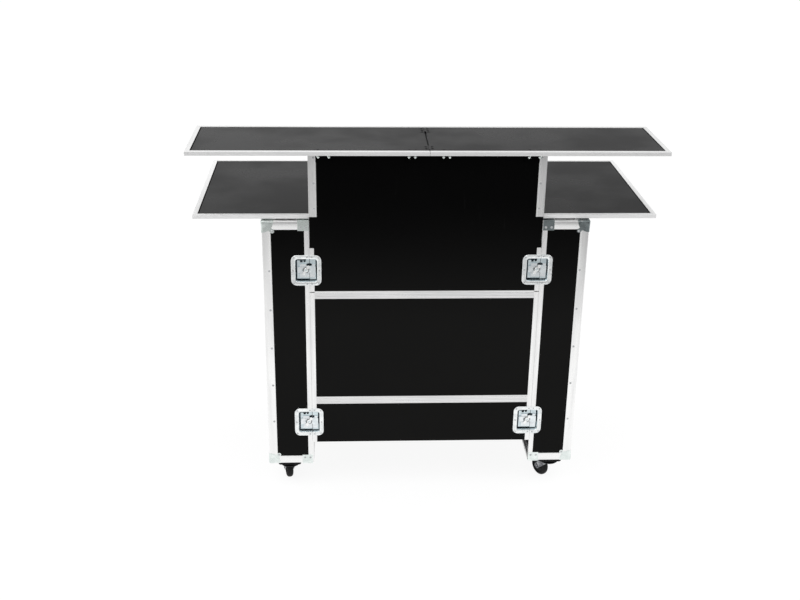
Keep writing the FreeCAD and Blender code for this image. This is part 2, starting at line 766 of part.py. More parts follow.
def slab_half(name, side, under, top, front, depth, holes):
    """A board and its edging on one side of the fold."""
    sign = signs[side]
    back = f"({front} + {depth})"
    inner_y = (f"{front} + edging_wall", f"{back} - edging_wall")
    inner_z = (f"{under} + edging_wall", f"{top} - edging_wall")
    field_y = (f"{front} + edging_flange", f"{back} - edging_flange")
    core = slab("core", span("0", sign, "fold_gap / 2", f"{SLAB_END} - edging_wall"), inner_y, inner_z)
    field_x = span("0", sign, "fold_gap / 2", f"{SLAB_END} - edging_flange")
    field = slab("field", field_x, field_y, (under, top))
    pockets = []
    for middle in hinge_middles(front, depth):
        leaf_y = (f"{middle} - hinge_length / 2", f"{middle} + hinge_length / 2")
        leaf_z = (f"{top} - leaf_thickness", f"{top} + overrun")
        pockets.append(slab("leaf_pocket", span("0", sign, "0", "hinge_leaf"), leaf_y, leaf_z))
        room = "(knuckle_radius + 2 * knuckle_play)"
        room_z = (f"{top} + fold_rise - {room}", f"{top} + overrun")
        pockets.append(slab("knuckle_room", span("0", sign, "0", room), leaf_y, room_z))
    node(f"{name}_{side}_board", cut("slab_board", fuse("slab_solid", [core, field]), pockets + holes))
    whole = slab("edging_block", span("0", sign, "fold_gap / 2", SLAB_END), (front, back), (under, top))
    core_room = slab("core_room", span("0", sign, "-overrun", f"{SLAB_END} - edging_wall"), inner_y, inner_z)
    window = slab("window", span("0", sign, "-overrun", f"{SLAB_END} - edging_flange"), field_y,
                  (f"{under} - overrun", f"{top} + overrun"))
    return cut("edging", whole, [core_room, window])


def hinge_leaf(side, middle, top):
    """One leaf of a fold hinge with its knuckles: the outer two on the left, the middle one on the right."""
    sign = signs[side]
    axis_z = f"({top} + fold_rise)"
    quarter = "(hinge_length / 4)"
    leaf_y = (f"{middle} - hinge_length / 2", f"{middle} + hinge_length / 2")
    leaf_z = (f"{top} - leaf_thickness", top)
    play = "(knuckle_play / 2)"
    stretches = [(f"{middle} - {quarter} + {play}", f"{middle} + {quarter} - {play}")]
    if side == "left":
        stretches = [
            (f"{middle} - hinge_length / 2", f"{middle} - {quarter} - {play}"),
            (f"{middle} + {quarter} + {play}", f"{middle} + hinge_length / 2"),
        ]
    plate_start = "knuckle_radius + knuckle_play"
    pieces = [slab("leaf", span("0", sign, plate_start, "hinge_leaf"), leaf_y, leaf_z)]
    for stretch in stretches:
        pieces.append(slab("leaf_tab", span("0", sign, "0", plate_start), stretch, leaf_z))
        pieces.append(rod("knuckle", "y", ("0", axis_z), *stretch, "knuckle_radius"))
    bore = rod("pin_bore", "y", ("0", axis_z), f"{middle} - hinge_length", f"{middle} + hinge_length",
               "pin_radius + running_play")
    holes = [bore]
    recess_z = (f"{top} - screw_sink", f"{top} + overrun")
    for step in (-1, 0, 1):
        x = f"({sign}) * hinge_leaf / 2"
        y = f"{middle} + ({step}) * screw_pitch"
        holes.append(rod("screw_recess", "z", (x, y), *recess_z, "screw_radius"))
    return cut("hinge_leaf", fuse("leaf_solid", pieces), holes)


def hinge_pin(middle, top):
    """The pin that both leaves of a fold hinge turn on."""
    return rod("hinge_pin", "y", ("0", f"({top} + fold_rise)"), f"{middle} - hinge_length / 2",
               f"{middle} + hinge_length / 2", "pin_radius")


COUNTER_FRONT = f"({FRONT} - counter_overhang)"
COUNTER_TOP = f"({COUNTER_UNDER} + slab_thickness)"
WORKTOP_FRONT = f"({FRONT} + worktop_setback)"
WORKTOP_TOP = f"({WORKTOP_UNDER} + worktop_thickness)"
BRACKETS = {
    "inner": ("inner_bracket", "inner_bracket_width", "inner_bolt_pitch"),
    "outer": ("outer_bracket", "outer_bracket_width", "outer_bolt_pitch"),
}
BOLT_Y = f"({FRONT} - bolt_setback)"

for side in ("left", "right"):
    sign = signs[side]
    brackets = []
    bolts = []
    holes = []
    for place, width, pitch in BRACKETS.values():
        plate_x = span("0", sign, f"{place} - {width} / 2", f"{place} + {width} / 2")
        bolt_places = [f"({sign}) * ({place} + ({step}) * {pitch} / 2)" for step in (-1, 1)]
        for face, way in ((FRONT, -1), (PANEL_BACK, 1)):
            reach = span(face, way, "bracket_play", "bracket_reach")
            legs = [
                slab("bracket_top", plate_x, reach, span(COUNTER_UNDER, -1, "0", "bracket_plate")),
                slab("bracket_leg", plate_x, span(face, way, "bracket_play", "bracket_play + bracket_plate"),
                     span(COUNTER_UNDER, -1, "0", "bracket_drop")),
            ]
            plate = fuse("bracket_plate", legs)
            if way < 0:
                bore_z = (f"{COUNTER_UNDER} - overrun", f"{COUNTER_UNDER} + overrun")
                bore = "bolt_radius + bolt_play"
                bores = [rod("bolt_bore", "z", (x, BOLT_Y), *bore_z, bore) for x in bolt_places]
                plate = cut("bracket_bored", plate, bores)
            brackets.append(plate)
        for x in bolt_places:
            under = f"({COUNTER_UNDER} - bracket_plate)"
            head_z = (f"{COUNTER_TOP} - bolt_head", COUNTER_TOP)
            bolts.append(fuse("bolt", [
                rod("bolt_head", "z", (x, BOLT_Y), *head_z, "bolt_head_radius"),
                rod("bolt_shank", "z", (x, BOLT_Y), f"{under} - nut_height", COUNTER_TOP, "bolt_radius"),
                rod("bolt_nut", "z", (x, BOLT_Y), f"{under} - nut_height", under, "nut_radius"),
            ]))
            holes.append(rod("bolt_hole", "z", (x, BOLT_Y), f"{COUNTER_UNDER} - overrun",
                             f"{COUNTER_TOP} + overrun", "bolt_radius + bolt_play"))
            holes.append(rod("bolt_recess", "z", (x, BOLT_Y), f"{COUNTER_TOP} - bolt_head",
                             f"{COUNTER_TOP} + overrun", "bolt_head_radius + bolt_play"))
    edging = slab_half("counter", side, COUNTER_UNDER, COUNTER_TOP, COUNTER_FRONT, "counter_depth", holes)
    node(f"counter_{side}_edging", edging)
    node(f"counter_{side}_brackets", group("bracket_set", brackets))
    node(f"counter_{side}_bolts", group("bolt_set", bolts))
    middles = hinge_middles(COUNTER_FRONT, "counter_depth")
    leaves = [hinge_leaf(side, middle, COUNTER_TOP) for middle in middles]
    if side == "left":
        leaves += [hinge_pin(middle, COUNTER_TOP) for middle in middles]
    node(f"counter_{side}_hinge_leaves", group("leaf_set", leaves))

worktop_edgings = []
worktop_hinges = []
for side in ("left", "right"):
    edging = slab_half("worktop", side, WORKTOP_UNDER, WORKTOP_TOP, WORKTOP_FRONT, "worktop_depth", [])
    worktop_edgings.append(edging)
    for middle in hinge_middles(WORKTOP_FRONT, "worktop_depth"):
        worktop_hinges.append(hinge_leaf(side, middle, WORKTOP_TOP))
for middle in hinge_middles(WORKTOP_FRONT, "worktop_depth"):
    worktop_hinges.append(hinge_pin(middle, WORKTOP_TOP))
node("worktop_edging", group("worktop_edging_set", worktop_edgings))
node("worktop_hinges", group("worktop_hinge_set", worktop_hinges))


# Swivel casters, each built about its own swivel axis with the wheel trailing along Y
CROWN_TOP = f"({FLOOR} - plate_thickness - race_height - race_play)"
CROWN_UNDER = f"({CROWN_TOP} - crown_height)"
CHEEK_INSIDE = "(hub_width / 2 + cheek_play)"
plates = []
for place, turn in SWIVELS.items():
    x, y = swivel_place(place)
    plate_x, plate_y = plate_room(place, "0")
    plate_z = (f"{FLOOR} - plate_thickness", FLOOR)
    plate = rounded_block("caster_plate", plate_x, plate_y, plate_z, "plate_radius", "z")
    race = rod("race", "z", (x, y), f"{FLOOR} - plate_thickness - race_height", f"{FLOOR} - plate_thickness",
               "race_radius")
    king_pin = rod("king_pin", "z", (x, y), f"{CROWN_UNDER} - race_play", FLOOR, "king_pin")
    king_nut = rod("king_nut", "z", (x, y), f"{CROWN_UNDER} - race_play - king_nut_height",
                   f"{CROWN_UNDER} - race_play", "king_nut")
    pieces = [plate, race, king_pin, king_nut]
    for step_x in (-1, 1):
        for step_y in (-1, 1):
            bolt_x = f"{x} + ({step_x}) * (plate_side / 2 - plate_bolt_inset)"
            bolt_y = f"{y} + ({step_y}) * (plate_side / 2 - plate_bolt_inset)"
            under = f"({FLOOR} - plate_thickness)"
            pieces.append(rod("plate_bolt", "z", (bolt_x, bolt_y), f"{under} - plate_bolt_height", under,
                              "plate_bolt_radius"))
    plates.append(fuse("caster_plate_solid", pieces))

    crown = rod("crown", "z", ("0", "0"), CROWN_UNDER, CROWN_TOP, "crown_radius")
    crown_bore = rod("crown_bore", "z", ("0", "0"), f"{CROWN_UNDER} - overrun", f"{CROWN_TOP} + overrun",
                     "king_pin + running_play")
    cheeks = []
    for way in (-1, 1):
        low_x, high_x = span("0", way, CHEEK_INSIDE, f"{CHEEK_INSIDE} + cheek")
        low_z = "(wheel_radius - cheek_end)"
        outline = [
            ("cheek_front + trail - cheek_end", "0"),
            ("cheek_front + trail + cheek_end", "0"),
            ("cheek_front + trail + cheek_end", "cheek_end"),
            ("cheek_front + cheek_back", f"{CROWN_UNDER} - {low_z}"),
            ("0", f"{CROWN_UNDER} - {low_z}"),
            ("cheek_front + trail - cheek_end", "cheek_end"),
        ]
        cheeks.append(padded_outline("cheek", outline, "cheek", (low_x, "-cheek_front", low_z), FACING_SIDE))
        link_y = ("-cheek_front", "cheek_back")
        cheeks.append(slab("shoulder", span("0", way, "0", f"{CHEEK_INSIDE} + cheek"), link_y,
                           (CROWN_UNDER, CROWN_TOP)))
    axle_bore = rod("axle_bore", "x", ("trail", "wheel_radius"), f"-({CHEEK_INSIDE} + cheek + overrun)",
                    f"{CHEEK_INSIDE} + cheek + overrun", "axle_radius")
    fork = cut("fork", fuse("fork_solid", [crown] + cheeks), [crown_bore, axle_bore])
    hub = ("trail", "wheel_radius")
    axle_end = f"({CHEEK_INSIDE} + cheek)"
    head_end = f"({axle_end} + axle_head)"
    axle = fuse("axle", [
        rod("axle_bar", "x", hub, f"-{head_end}", head_end, "axle_radius"),
        rod("axle_head", "x", hub, axle_end, head_end, "axle_head_radius"),
        rod("axle_nut", "x", hub, f"-{head_end}", f"-{axle_end}", "axle_head_radius"),
    ])
    carrier = group("fork_set", [fork, axle])
    place_body(carrier, (x, y, "0"), FreeCAD.Rotation(FreeCAD.Vector(0, 0, 1), turn))
    node(f"{place}_fork", carrier)

    wheel = doc.addObject("PartDesign::Body", "wheel")
    tread = "((hub_width - wheel_width) / 2)"
    bore = "axle_radius + running_play"
    section = [
        ("0", bore),
        ("hub_width", bore),
        ("hub_width", "hub_radius"),
        (f"hub_width - {tread} - web_sink", "hub_radius"),
        (f"hub_width - {tread} - web_sink", "wheel_radius - tyre_depth"),
        (f"hub_width - {tread}", "wheel_radius - tyre_depth"),
        (f"hub_width - {tread}", "wheel_radius - shoulder"),
        (f"hub_width - {tread} - shoulder", "wheel_radius"),
        (f"{tread} + shoulder", "wheel_radius"),
        (tread, "wheel_radius - shoulder"),
        (tread, "wheel_radius - tyre_depth"),
        (f"{tread} + web_sink", "wheel_radius - tyre_depth"),
        (f"{tread} + web_sink", "hub_radius"),
        ("0", "hub_radius"),
    ]
    sketch = outline_sketch(wheel, "wheel_section", section)
    turned = wheel.newObject("PartDesign::Revolution", "wheel_turned")
    turned.Profile = sketch
    turned.ReferenceAxis = (sketch, ["H_Axis"])
    turned.Angle = 360
    wheel.Tip = turned
    cosine = math.cos(math.radians(turn))
    sine = math.sin(math.radians(turn))
    wheel_x = f"{x} - ({cosine}) * hub_width / 2 - ({sine}) * trail"
    wheel_y = f"{y} - ({sine}) * hub_width / 2 + ({cosine}) * trail"
    place_body(wheel, (wheel_x, wheel_y, "wheel_radius"), FreeCAD.Rotation(FreeCAD.Vector(0, 0, 1), turn))
    node(f"{place}_wheel", wheel)
node("caster_plates", group("caster_plate_set", plates))


# Blind rivets: domes on the profiles, corners, braces and dishes
def dome(place, normal):
    """A low dome that stands on a face."""
    radius = value("rivet_radius")
    height = value("rivet_height")
    sphere = (radius * radius + height * height) / (2 * height)
    latitude = math.degrees(math.asin((sphere - height) / sphere))
    middle = FreeCAD.Vector(0, 0, height - sphere)
    head = Part.makeSphere(sphere, middle, FreeCAD.Vector(0, 0, 1), latitude, 90)
    turn = FreeCAD.Rotation(FreeCAD.Vector(0, 0, 1), FreeCAD.Vector(*normal))
    head.Placement = FreeCAD.Placement(FreeCAD.Vector(*place), turn)
    return head


def inset(face, depth):
    """The place at a depth inside a face."""
    axis, place, way = face
    return value(f"{place} + ({way}) * ({depth})")


def outward(face):
    """The direction out of a face."""
    axis, place, way = face
    return tuple(-way if letter == axis else 0 for letter in "xyz")


def on_face(face, depth_faces):
    """A dome on a face, at a depth from each of two other faces."""
    place = [0, 0, 0]
    place["xyz".index(face[0])] = inset(face, "0")
    for other, depth in depth_faces:
        place["xyz".index(other[0])] = inset(other, depth)
    return dome(place, outward(face))


RIVET_DEPTH = "angle_leg - rivet_inset"
UPRIGHT_RIVETS = 5
LONG_RIVETS = 4
domes = []
for side in ("left", "right"):
    outer_face = outer_faces[side]
    rim = rim_faces[side]
    for end in (front_face, back_face):
        for count in range(UPRIGHT_RIVETS):
            height = (floor_face, f"rivet_first + {count} * rivet_pitch")
            domes.append(on_face(end, [(outer_face, RIVET_DEPTH), height]))
            domes.append(on_face(outer_face, [(end, RIVET_DEPTH), height]))
    for level in (floor_face, top_face):
        for count in range(LONG_RIVETS):
            along = (front_face, f"case_depth / 2 + ({count} - {LONG_RIVETS - 1} / 2) * rivet_pitch")
            domes.append(on_face(level, [(outer_face, RIVET_DEPTH), along]))
            domes.append(on_face(outer_face, [(level, RIVET_DEPTH), along]))
    for end in (front_face, back_face):
        for level in (floor_face, top_face):
            trio = (outer_face, end, level)
            raised = [(axis, f"({place} - ({way}) * ball_plate)", way) for axis, place, way in trio]
            for number, face in enumerate(raised):
                if face[0] == "z" and level is floor_face:
                    continue
                others = [trio[index] for index in range(len(trio)) if index != number]
                domes.append(on_face(face, [(other, "corner_rivet") for other in others]))
            brace_face = (end[0], f"({end[1]} - ({end[2]}) * brace_plate)", end[2])
            for rim_depth in ("brace_rivet", "brace_length - brace_rivet"):
                domes.append(on_face(brace_face, [(rim, rim_depth), (level, "brace_rivet_drop")]))
    panel = panel_faces[side]
    panel_rear = ("y", PANEL_BACK, -1)
    counter_face = ("z", COUNTER_UNDER, -1)
    for face in (front_face, panel_rear):
        for count in range(3):
            drop = f"upright_rivet + {count} * upright_rivet_pitch"
            domes.append(on_face(face, [(panel, "upright_flange - rivet_inset"), (counter_face, drop)]))
    dish_face = ("y", f"({FRONT} - dish_wall)", 1)
    latch_edge = ("x", f"({SEAMS[side]} - latch_width)", 1)
    keeper_edge = ("x", f"({SEAMS[side]} + keeper_width)", -1)
    for level in ("upper", "lower"):
        middle = ("z", LATCH_HEIGHTS[level], 1)
        for edge in (latch_edge, keeper_edge):
            seam_face = ("x", SEAMS[side], -edge[2])
            domes.append(on_face(dish_face, [(edge, "dish_rivet_inset"), (middle, "0")]))
            for way in (1, -1):
                rim_edge = ("z", f"({LATCH_HEIGHTS[level]} - ({way}) * dish_height / 2)", way)
                corner = [(edge, "dish_corner_rivet"), (rim_edge, "dish_corner_rivet")]
                by_seam = [(seam_face, "dish_seam_rivet"), (rim_edge, "dish_rivet_inset")]
                domes.append(on_face(dish_face, corner))
                domes.append(on_face(dish_face, by_seam))
rivets = doc.addObject("Part::Feature", "rivets")
rivets.Shape = Part.Compound(domes)
node("case_rivets", rivets)

# Check every object, then write each sub-part
doc.recompute()
for thing in doc.Objects:
    if "Invalid" in thing.State or "Error" in thing.State:
        raise RuntimeError(f"{thing.Label} did not build: {thing.State}")
os.makedirs("parts", exist_ok=True)
for piece in nodes:
    shape = piece.Shape
    if shape.isNull() or not shape.isValid() or not shape.Solids:
        raise RuntimeError(f"{piece.Label} has no valid solid")
    shape.exportStep(f"parts/{piece.Label}.step")
    print(piece.Label, len(shape.Solids), round(shape.Volume, 1))
print(len(nodes), "sub-parts")
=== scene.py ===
import json
import math

import bmesh
import bpy
from mathutils import Matrix, Vector


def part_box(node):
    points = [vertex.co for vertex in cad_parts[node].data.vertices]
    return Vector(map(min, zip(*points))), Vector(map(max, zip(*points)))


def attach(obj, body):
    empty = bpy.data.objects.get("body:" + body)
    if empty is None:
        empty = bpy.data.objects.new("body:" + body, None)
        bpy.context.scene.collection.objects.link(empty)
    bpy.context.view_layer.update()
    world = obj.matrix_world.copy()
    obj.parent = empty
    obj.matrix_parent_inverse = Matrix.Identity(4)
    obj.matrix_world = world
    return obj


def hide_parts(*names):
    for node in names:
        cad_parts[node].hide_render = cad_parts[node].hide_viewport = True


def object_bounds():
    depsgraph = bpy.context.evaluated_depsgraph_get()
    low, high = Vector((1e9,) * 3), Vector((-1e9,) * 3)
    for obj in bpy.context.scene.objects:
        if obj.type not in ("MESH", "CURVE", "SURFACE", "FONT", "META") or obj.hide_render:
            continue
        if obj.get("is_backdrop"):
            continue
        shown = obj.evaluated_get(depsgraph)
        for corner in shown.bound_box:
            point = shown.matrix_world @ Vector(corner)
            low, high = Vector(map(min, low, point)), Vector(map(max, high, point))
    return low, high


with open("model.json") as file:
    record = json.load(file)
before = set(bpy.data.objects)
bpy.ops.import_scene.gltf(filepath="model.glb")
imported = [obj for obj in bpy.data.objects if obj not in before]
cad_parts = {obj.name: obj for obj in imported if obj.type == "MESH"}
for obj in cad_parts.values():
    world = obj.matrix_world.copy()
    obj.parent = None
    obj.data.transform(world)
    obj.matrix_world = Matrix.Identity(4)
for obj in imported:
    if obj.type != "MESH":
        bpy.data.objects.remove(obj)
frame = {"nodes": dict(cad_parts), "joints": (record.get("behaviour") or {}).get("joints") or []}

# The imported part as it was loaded: its bounds, in metres.
# X runs to the right as the customer sees it, Y away from the customer and Z up.
cad_low, cad_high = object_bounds()


# Case boards: ten sheets of plywood in the two halves, faced with a black phenolic film.
# The film is pressed with a fine grain, and handling has left it with dull patches and a few pale scuffs.
# It is painted lighter towards the floor and darkest under the counter: painted bounce light and painted
# shade.
def add_node(tree, kind, settings=None, **inputs):
    """A shader node with its settings, and its sockets by name or, as i0, by number."""
    made = tree.nodes.new(kind)
    for key, setting in (settings or {}).items():
        setattr(made, key, setting)
    for key, given in inputs.items():
        socket = made.inputs[int(key[1:])] if key[1:].isdigit() else made.inputs[key.replace("_", " ")]
        if isinstance(given, bpy.types.NodeSocket):
            tree.links.new(given, socket)
        else:
            socket.default_value = given
    return made


def math_node(tree, operation, first, second=0.0):
    """A sum, product or other step of arithmetic."""
    return add_node(tree, "ShaderNodeMath", {"operation": operation}, i0=first, i1=second).outputs[0]


def ramp(tree, value, low, high, to_low, to_high):
    """A value carried smoothly from one range to another."""
    settings = {"interpolation_type": "SMOOTHSTEP"}
    stretched = add_node(tree, "ShaderNodeMapRange", settings, Value=value, From_Min=low, From_Max=high,
                         To_Min=to_low, To_Max=to_high)
    return stretched.outputs["Result"]


def mix_colours(tree, share, first, second):
    """Two colours mixed by a share from 0 to 1."""
    mixed = add_node(tree, "ShaderNodeMix", {"data_type": "RGBA"}, i0=share, i6=first, i7=second)
    return mixed.outputs[2]


def grey(tone):
    """A plain grey as a colour."""
    return (tone, tone, tone, 1.0)


def noise(tree, where, scale, detail):
    """Soft noise of a scale, with finer layers over it."""
    return add_node(tree, "ShaderNodeTexNoise", None, Vector=where, Scale=scale, Detail=detail).outputs[0]


def mask(tree, value, low, high):
    """A share that is 0 below a range and 1 above it."""
    return ramp(tree, value, low, high, 0.0, 1.0)


def place_parts(tree):
    """X, Y and Z of each point of a piece, as it lies in the part."""
    where = tree.nodes.new("ShaderNodeTexCoord").outputs["Object"]
    return add_node(tree, "ShaderNodeSeparateXYZ", None, Vector=where).outputs


def new_group(name, values, outputs):
    """A shader node group with value inputs and named outputs."""
    tree = bpy.data.node_groups.new(name, "ShaderNodeTree")
    for label, start in values.items():
        socket = tree.interface.new_socket(label, in_out="INPUT", socket_type="NodeSocketFloat")
        socket.default_value = start
    for label in outputs:
        tree.interface.new_socket(label, in_out="OUTPUT", socket_type="NodeSocketFloat")
    return tree, tree.nodes.new("NodeGroupInput").outputs, tree.nodes.new("NodeGroupOutput").inputs


def use_group(tree, group, **values):
    """A group placed in a material with its own values."""
    placed = add_node(tree, "ShaderNodeGroup", {"node_tree": group})
    for label, given in values.items():
        placed.inputs[label].default_value = given
    return placed.outputs


def new_material(name, roughness, metallic=0.0, specular=0.5):
    """A material with the constants of its shader."""
    material = bpy.data.materials.new(name)
    material.use_nodes = True
    shader = material.node_tree.nodes["Principled BSDF"]
    shader.inputs["Roughness"].default_value = roughness
    shader.inputs["Metallic"].default_value = metallic
    shader.inputs["Specular IOR Level"].default_value = specular
    return material, material.node_tree, shader


def bump(tree, shader, height, distance):
    """Relief on a surface from a height between 0 and 1."""
    raised = add_node(tree, "ShaderNodeBump", None, Height=height, Distance=distance, Strength=1.0)
    tree.links.new(raised.outputs["Normal"], shader.inputs["Normal"])


nodes = frame["nodes"]


def dress(names, material):
    """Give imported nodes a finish."""
    for name in names:
        slots = nodes[name].data.materials
        slots.clear()
        slots.append(material)


NOISE_LOW = 0.3
NOISE_HIGH = 0.7
PATCH_SCALE = 3.5
SCUFF_TURN = (0.5, 0.9, 0.4)
SCUFF_STRETCH = (90.0, 90.0, 9.0)
SCUFF_FROM = 0.62
SCUFF_FULL = 0.74
HANDLED_SCALE = 5.0
HANDLED_FROM = 0.5
HANDLED_FULL = 0.72
film_grain, given, put = new_group("film_grain", {"Grain": 900.0, "Scuffs": 0.6}, ("Relief", "Dull", "Scuff"))
where = film_grain.nodes.new("ShaderNodeTexCoord").outputs["Object"]
pebbles = add_node(film_grain, "ShaderNodeTexVoronoi", {"feature": "SMOOTH_F1"}, Vector=where,
                   Scale=given["Grain"])
film_grain.links.new(pebbles.outputs["Distance"], put["Relief"])
patches = noise(film_grain, where, PATCH_SCALE, detail=4.0)
film_grain.links.new(mask(film_grain, patches, NOISE_LOW, NOISE_HIGH), put["Dull"])
squeezed = add_node(film_grain, "ShaderNodeMapping", None, Vector=where, Rotation=SCUFF_TURN,
                    Scale=SCUFF_STRETCH)
rubs = noise(film_grain, squeezed.outputs[0], 1.0, detail=5.0)
handled = noise(film_grain, where, HANDLED_SCALE, detail=2.0)
rubbed = math_node(film_grain, "MULTIPLY", mask(film_grain, rubs, SCUFF_FROM, SCUFF_FULL),
                   mask(film_grain, handled, HANDLED_FROM, HANDLED_FULL))
film_grain.links.new(math_node(film_grain, "MULTIPLY", rubbed, given["Scuffs"]), put["Scuff"])

FILM_GRAIN = 1100.0
CASE_FILM = (0.0008, 0.0008, 0.0009, 1.0)
CASE_DULL = grey(0.0016)
CASE_SCUFF = grey(0.020)
# Painted bounce light: the film is mixed towards a lighter grey lower down, away from the counter's shade.
CASE_PAINTED_BOUNCE = (0.0112, 0.0111, 0.0108, 1.0)
PAINTED_BOUNCE_LOW = 0.60
PAINTED_BOUNCE_HIGH = 1.10
PAINTED_BOUNCE_SHARE = 0.85
CASE_SMOOTH = 0.48
CASE_ROUGH = 0.62
CASE_RELIEF = 0.00008
case_laminate, tree, shader = new_material("case_laminate", CASE_ROUGH, specular=0.03)
film = use_group(tree, film_grain, Grain=FILM_GRAIN, Scuffs=0.25)
worn = mix_colours(tree, film["Scuff"], mix_colours(tree, film["Dull"], CASE_FILM, CASE_DULL), CASE_SCUFF)
painted_bounce = ramp(tree, place_parts(tree)["Z"], PAINTED_BOUNCE_LOW, PAINTED_BOUNCE_HIGH, PAINTED_BOUNCE_SHARE, 0.0)
tree.links.new(mix_colours(tree, painted_bounce, worn, CASE_PAINTED_BOUNCE), shader.inputs["Base Color"])
tree.links.new(ramp(tree, film["Dull"], 0.0, 1.0, CASE_SMOOTH, CASE_ROUGH), shader.inputs["Roughness"])
bump(tree, shader, film["Relief"], CASE_RELIEF)
SIDES = {"left": -1, "right": 1}
BOARD_NAMES = ("outer", "front", "rear", "top", "bottom")
dress([f"{side}_{board}_board" for side in SIDES for board in BOARD_NAMES], case_laminate)
dress(["upper_front_board", "lower_front_board"], case_laminate)


# Edge angles: drawn aluminium, 30 mm on each leg, riveted over the outer edges of both halves.
# The corner is rounded, each leg ends in a raised bead, and the die has left long fine lines.
def arc(centre, radius, start, end, steps):
    """Points of a round stretch in a section, between two angles in degrees."""
    angles = [math.radians(start + (end - start) * step / steps) for step in range(steps + 1)]
    return [(centre[0] + radius * math.cos(a), centre[1] + radius * math.sin(a)) for a in angles]


def extrude(mesh, section, place, start, end, start_slope=0.0, end_slope=0.0):
    """Draw a closed section along a run; a slope mitres an end by the section's second measure."""
    uv_map = mesh.loops.layers.uv.verify()
    rings = []
    for along, slope in ((start, start_slope), (end, end_slope)):
        rings.append([mesh.verts.new(place(u, v, along + slope * v)) for u, v in section])
    around = 0.0
    for number, point in enumerate(section):
        following = (number + 1) % len(section)
        step = math.dist(point, section[following])
        face = mesh.faces.new((rings[0][number], rings[0][following], rings[1][following], rings[1][number]))
        corners = ((start, around), (start, around + step), (end, around + step), (end, around))
        for loop, corner in zip(face.loops, corners):
            loop[uv_map].uv = corner
        around += step
    mesh.faces.new(rings[0])
    mesh.faces.new(rings[1])


CREASE = math.radians(35.0)


def add_piece(name, mesh, body, material, stands_for=()):
    """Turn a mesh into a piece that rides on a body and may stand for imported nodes."""
    bmesh.ops.recalc_face_normals(mesh, faces=mesh.faces)
    data = bpy.data.meshes.new(name)
    mesh.to_mesh(data)
    mesh.free()
    data.materials.append(material)
    data.polygons.foreach_set("use_smooth", [True] * len(data.polygons))
    data.set_sharp_from_angle(angle=CREASE)
    piece = bpy.data.objects.new(name, data)
    bpy.context.scene.collection.objects.link(piece)
    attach(piece, body)
    if stands_for:
        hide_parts(*stands_for)


LINE_STRETCH = 1.5
SMEAR_STRETCH = 3.0
CLOUD_SCALE = 4.0
die_lines, given, put = new_group("die_lines", {"Lines": 1400.0, "Smears": 40.0}, ("Line", "Smear", "Cloud"))
run_map = die_lines.nodes.new("ShaderNodeUVMap").outputs[0]


def drawn_out(along, across):
    """The map of a run, scaled along and across the way it was drawn."""
    scale = add_node(die_lines, "ShaderNodeCombineXYZ", None, X=along, Y=across, Z=1.0)
    drawn = add_node(die_lines, "ShaderNodeVectorMath", {"operation": "MULTIPLY"}, i0=run_map,
                     i1=scale.outputs[0])
    return drawn.outputs[0]


lines = noise(die_lines, drawn_out(LINE_STRETCH, given["Lines"]), 1.0, detail=3.0)
die_lines.links.new(lines, put["Line"])
smears = noise(die_lines, drawn_out(SMEAR_STRETCH, given["Smears"]), 1.0, detail=4.0)
die_lines.links.new(mask(die_lines, smears, NOISE_LOW, NOISE_HIGH), put["Smear"])
where = die_lines.nodes.new("ShaderNodeTexCoord").outputs["Object"]
clouds = noise(die_lines, where, CLOUD_SCALE, detail=3.0)
die_lines.links.new(mask(die_lines, clouds, NOISE_LOW, NOISE_HIGH), put["Cloud"])


def blend(tree, first, second, share):
    """Two values in shares that add up to 1."""
    return math_node(tree, "ADD", math_node(tree, "MULTIPLY", first, share),
                     math_node(tree, "MULTIPLY", second, 1.0 - share))


SMEAR_SHARE = 0.5
LINE_SHARE = 0.6
STREAK_LOW = 0.2
STREAK_HIGH = 0.8
DRAWN_SMOOTH = 0.24
DRAWN_ROUGH = 0.40
LINE_RELIEF = 0.00003


def aluminium(name, bright, dull, metallic=1.0):
    """Bare drawn aluminium between two tones, streaked along its length."""
    material, tree, shader = new_material(name, DRAWN_ROUGH, metallic)
    marks = use_group(tree, die_lines, Lines=1600.0, Smears=60.0)
    tone = blend(tree, marks["Smear"], marks["Cloud"], SMEAR_SHARE)
    tree.links.new(mix_colours(tree, tone, bright, dull), shader.inputs["Base Color"])
    streak = blend(tree, marks["Line"], marks["Smear"], LINE_SHARE)
    tree.links.new(ramp(tree, streak, STREAK_LOW, STREAK_HIGH, DRAWN_SMOOTH, DRAWN_ROUGH),
                   shader.inputs["Roughness"])
    bump(tree, shader, marks["Line"], LINE_RELIEF)
    return material


aluminium_profile = aluminium("aluminium_profile", (0.96, 0.96, 0.955, 1.0), grey(0.87))
ANGLE_LEG = 0.030
SHEET = 0.0015
ANGLE_ROUND = 0.0035
ANGLE_STEPS = 5
BEAD_WIDTH = 0.0046
BEAD_RISE = 0.0009
BEAD_STEPS = 6


def bead(start, end, rise):
    """A half-round bead along a face, as place and rise, from one place to another."""
    points = []
    for step in range(BEAD_STEPS + 1):
        share = step / BEAD_STEPS
        points.append((start + (end - start) * share, -rise * math.sin(math.pi * share)))
    return points


def leg_tip(leg):
    """Half of an angle's section, from the rounded corner out to the tip and back inside."""
    return bead(leg - BEAD_WIDTH, leg, BEAD_RISE) + [(leg, SHEET)]


def angle_section(leg):
    """Section of an angle whose two legs lie on two faces."""
    first = leg_tip(leg)
    second = [(v, u) for u, v in reversed(first)]
    corner = arc((ANGLE_ROUND, ANGLE_ROUND), ANGLE_ROUND, 180.0, 270.0, ANGLE_STEPS)
    return corner + first + [(SHEET, SHEET)] + second


def axis_place(run_axis, first, second):
    """Maps a section onto two faces, each an axis, a place and a way in, along a third axis."""
    def place(u, v, along):
        point = Vector((0.0, 0.0, 0.0))
        point[first[0]] = first[1] + first[2] * u
        point[second[0]] = second[1] + second[2] * v
        point[run_axis] = along
        return point
    return place


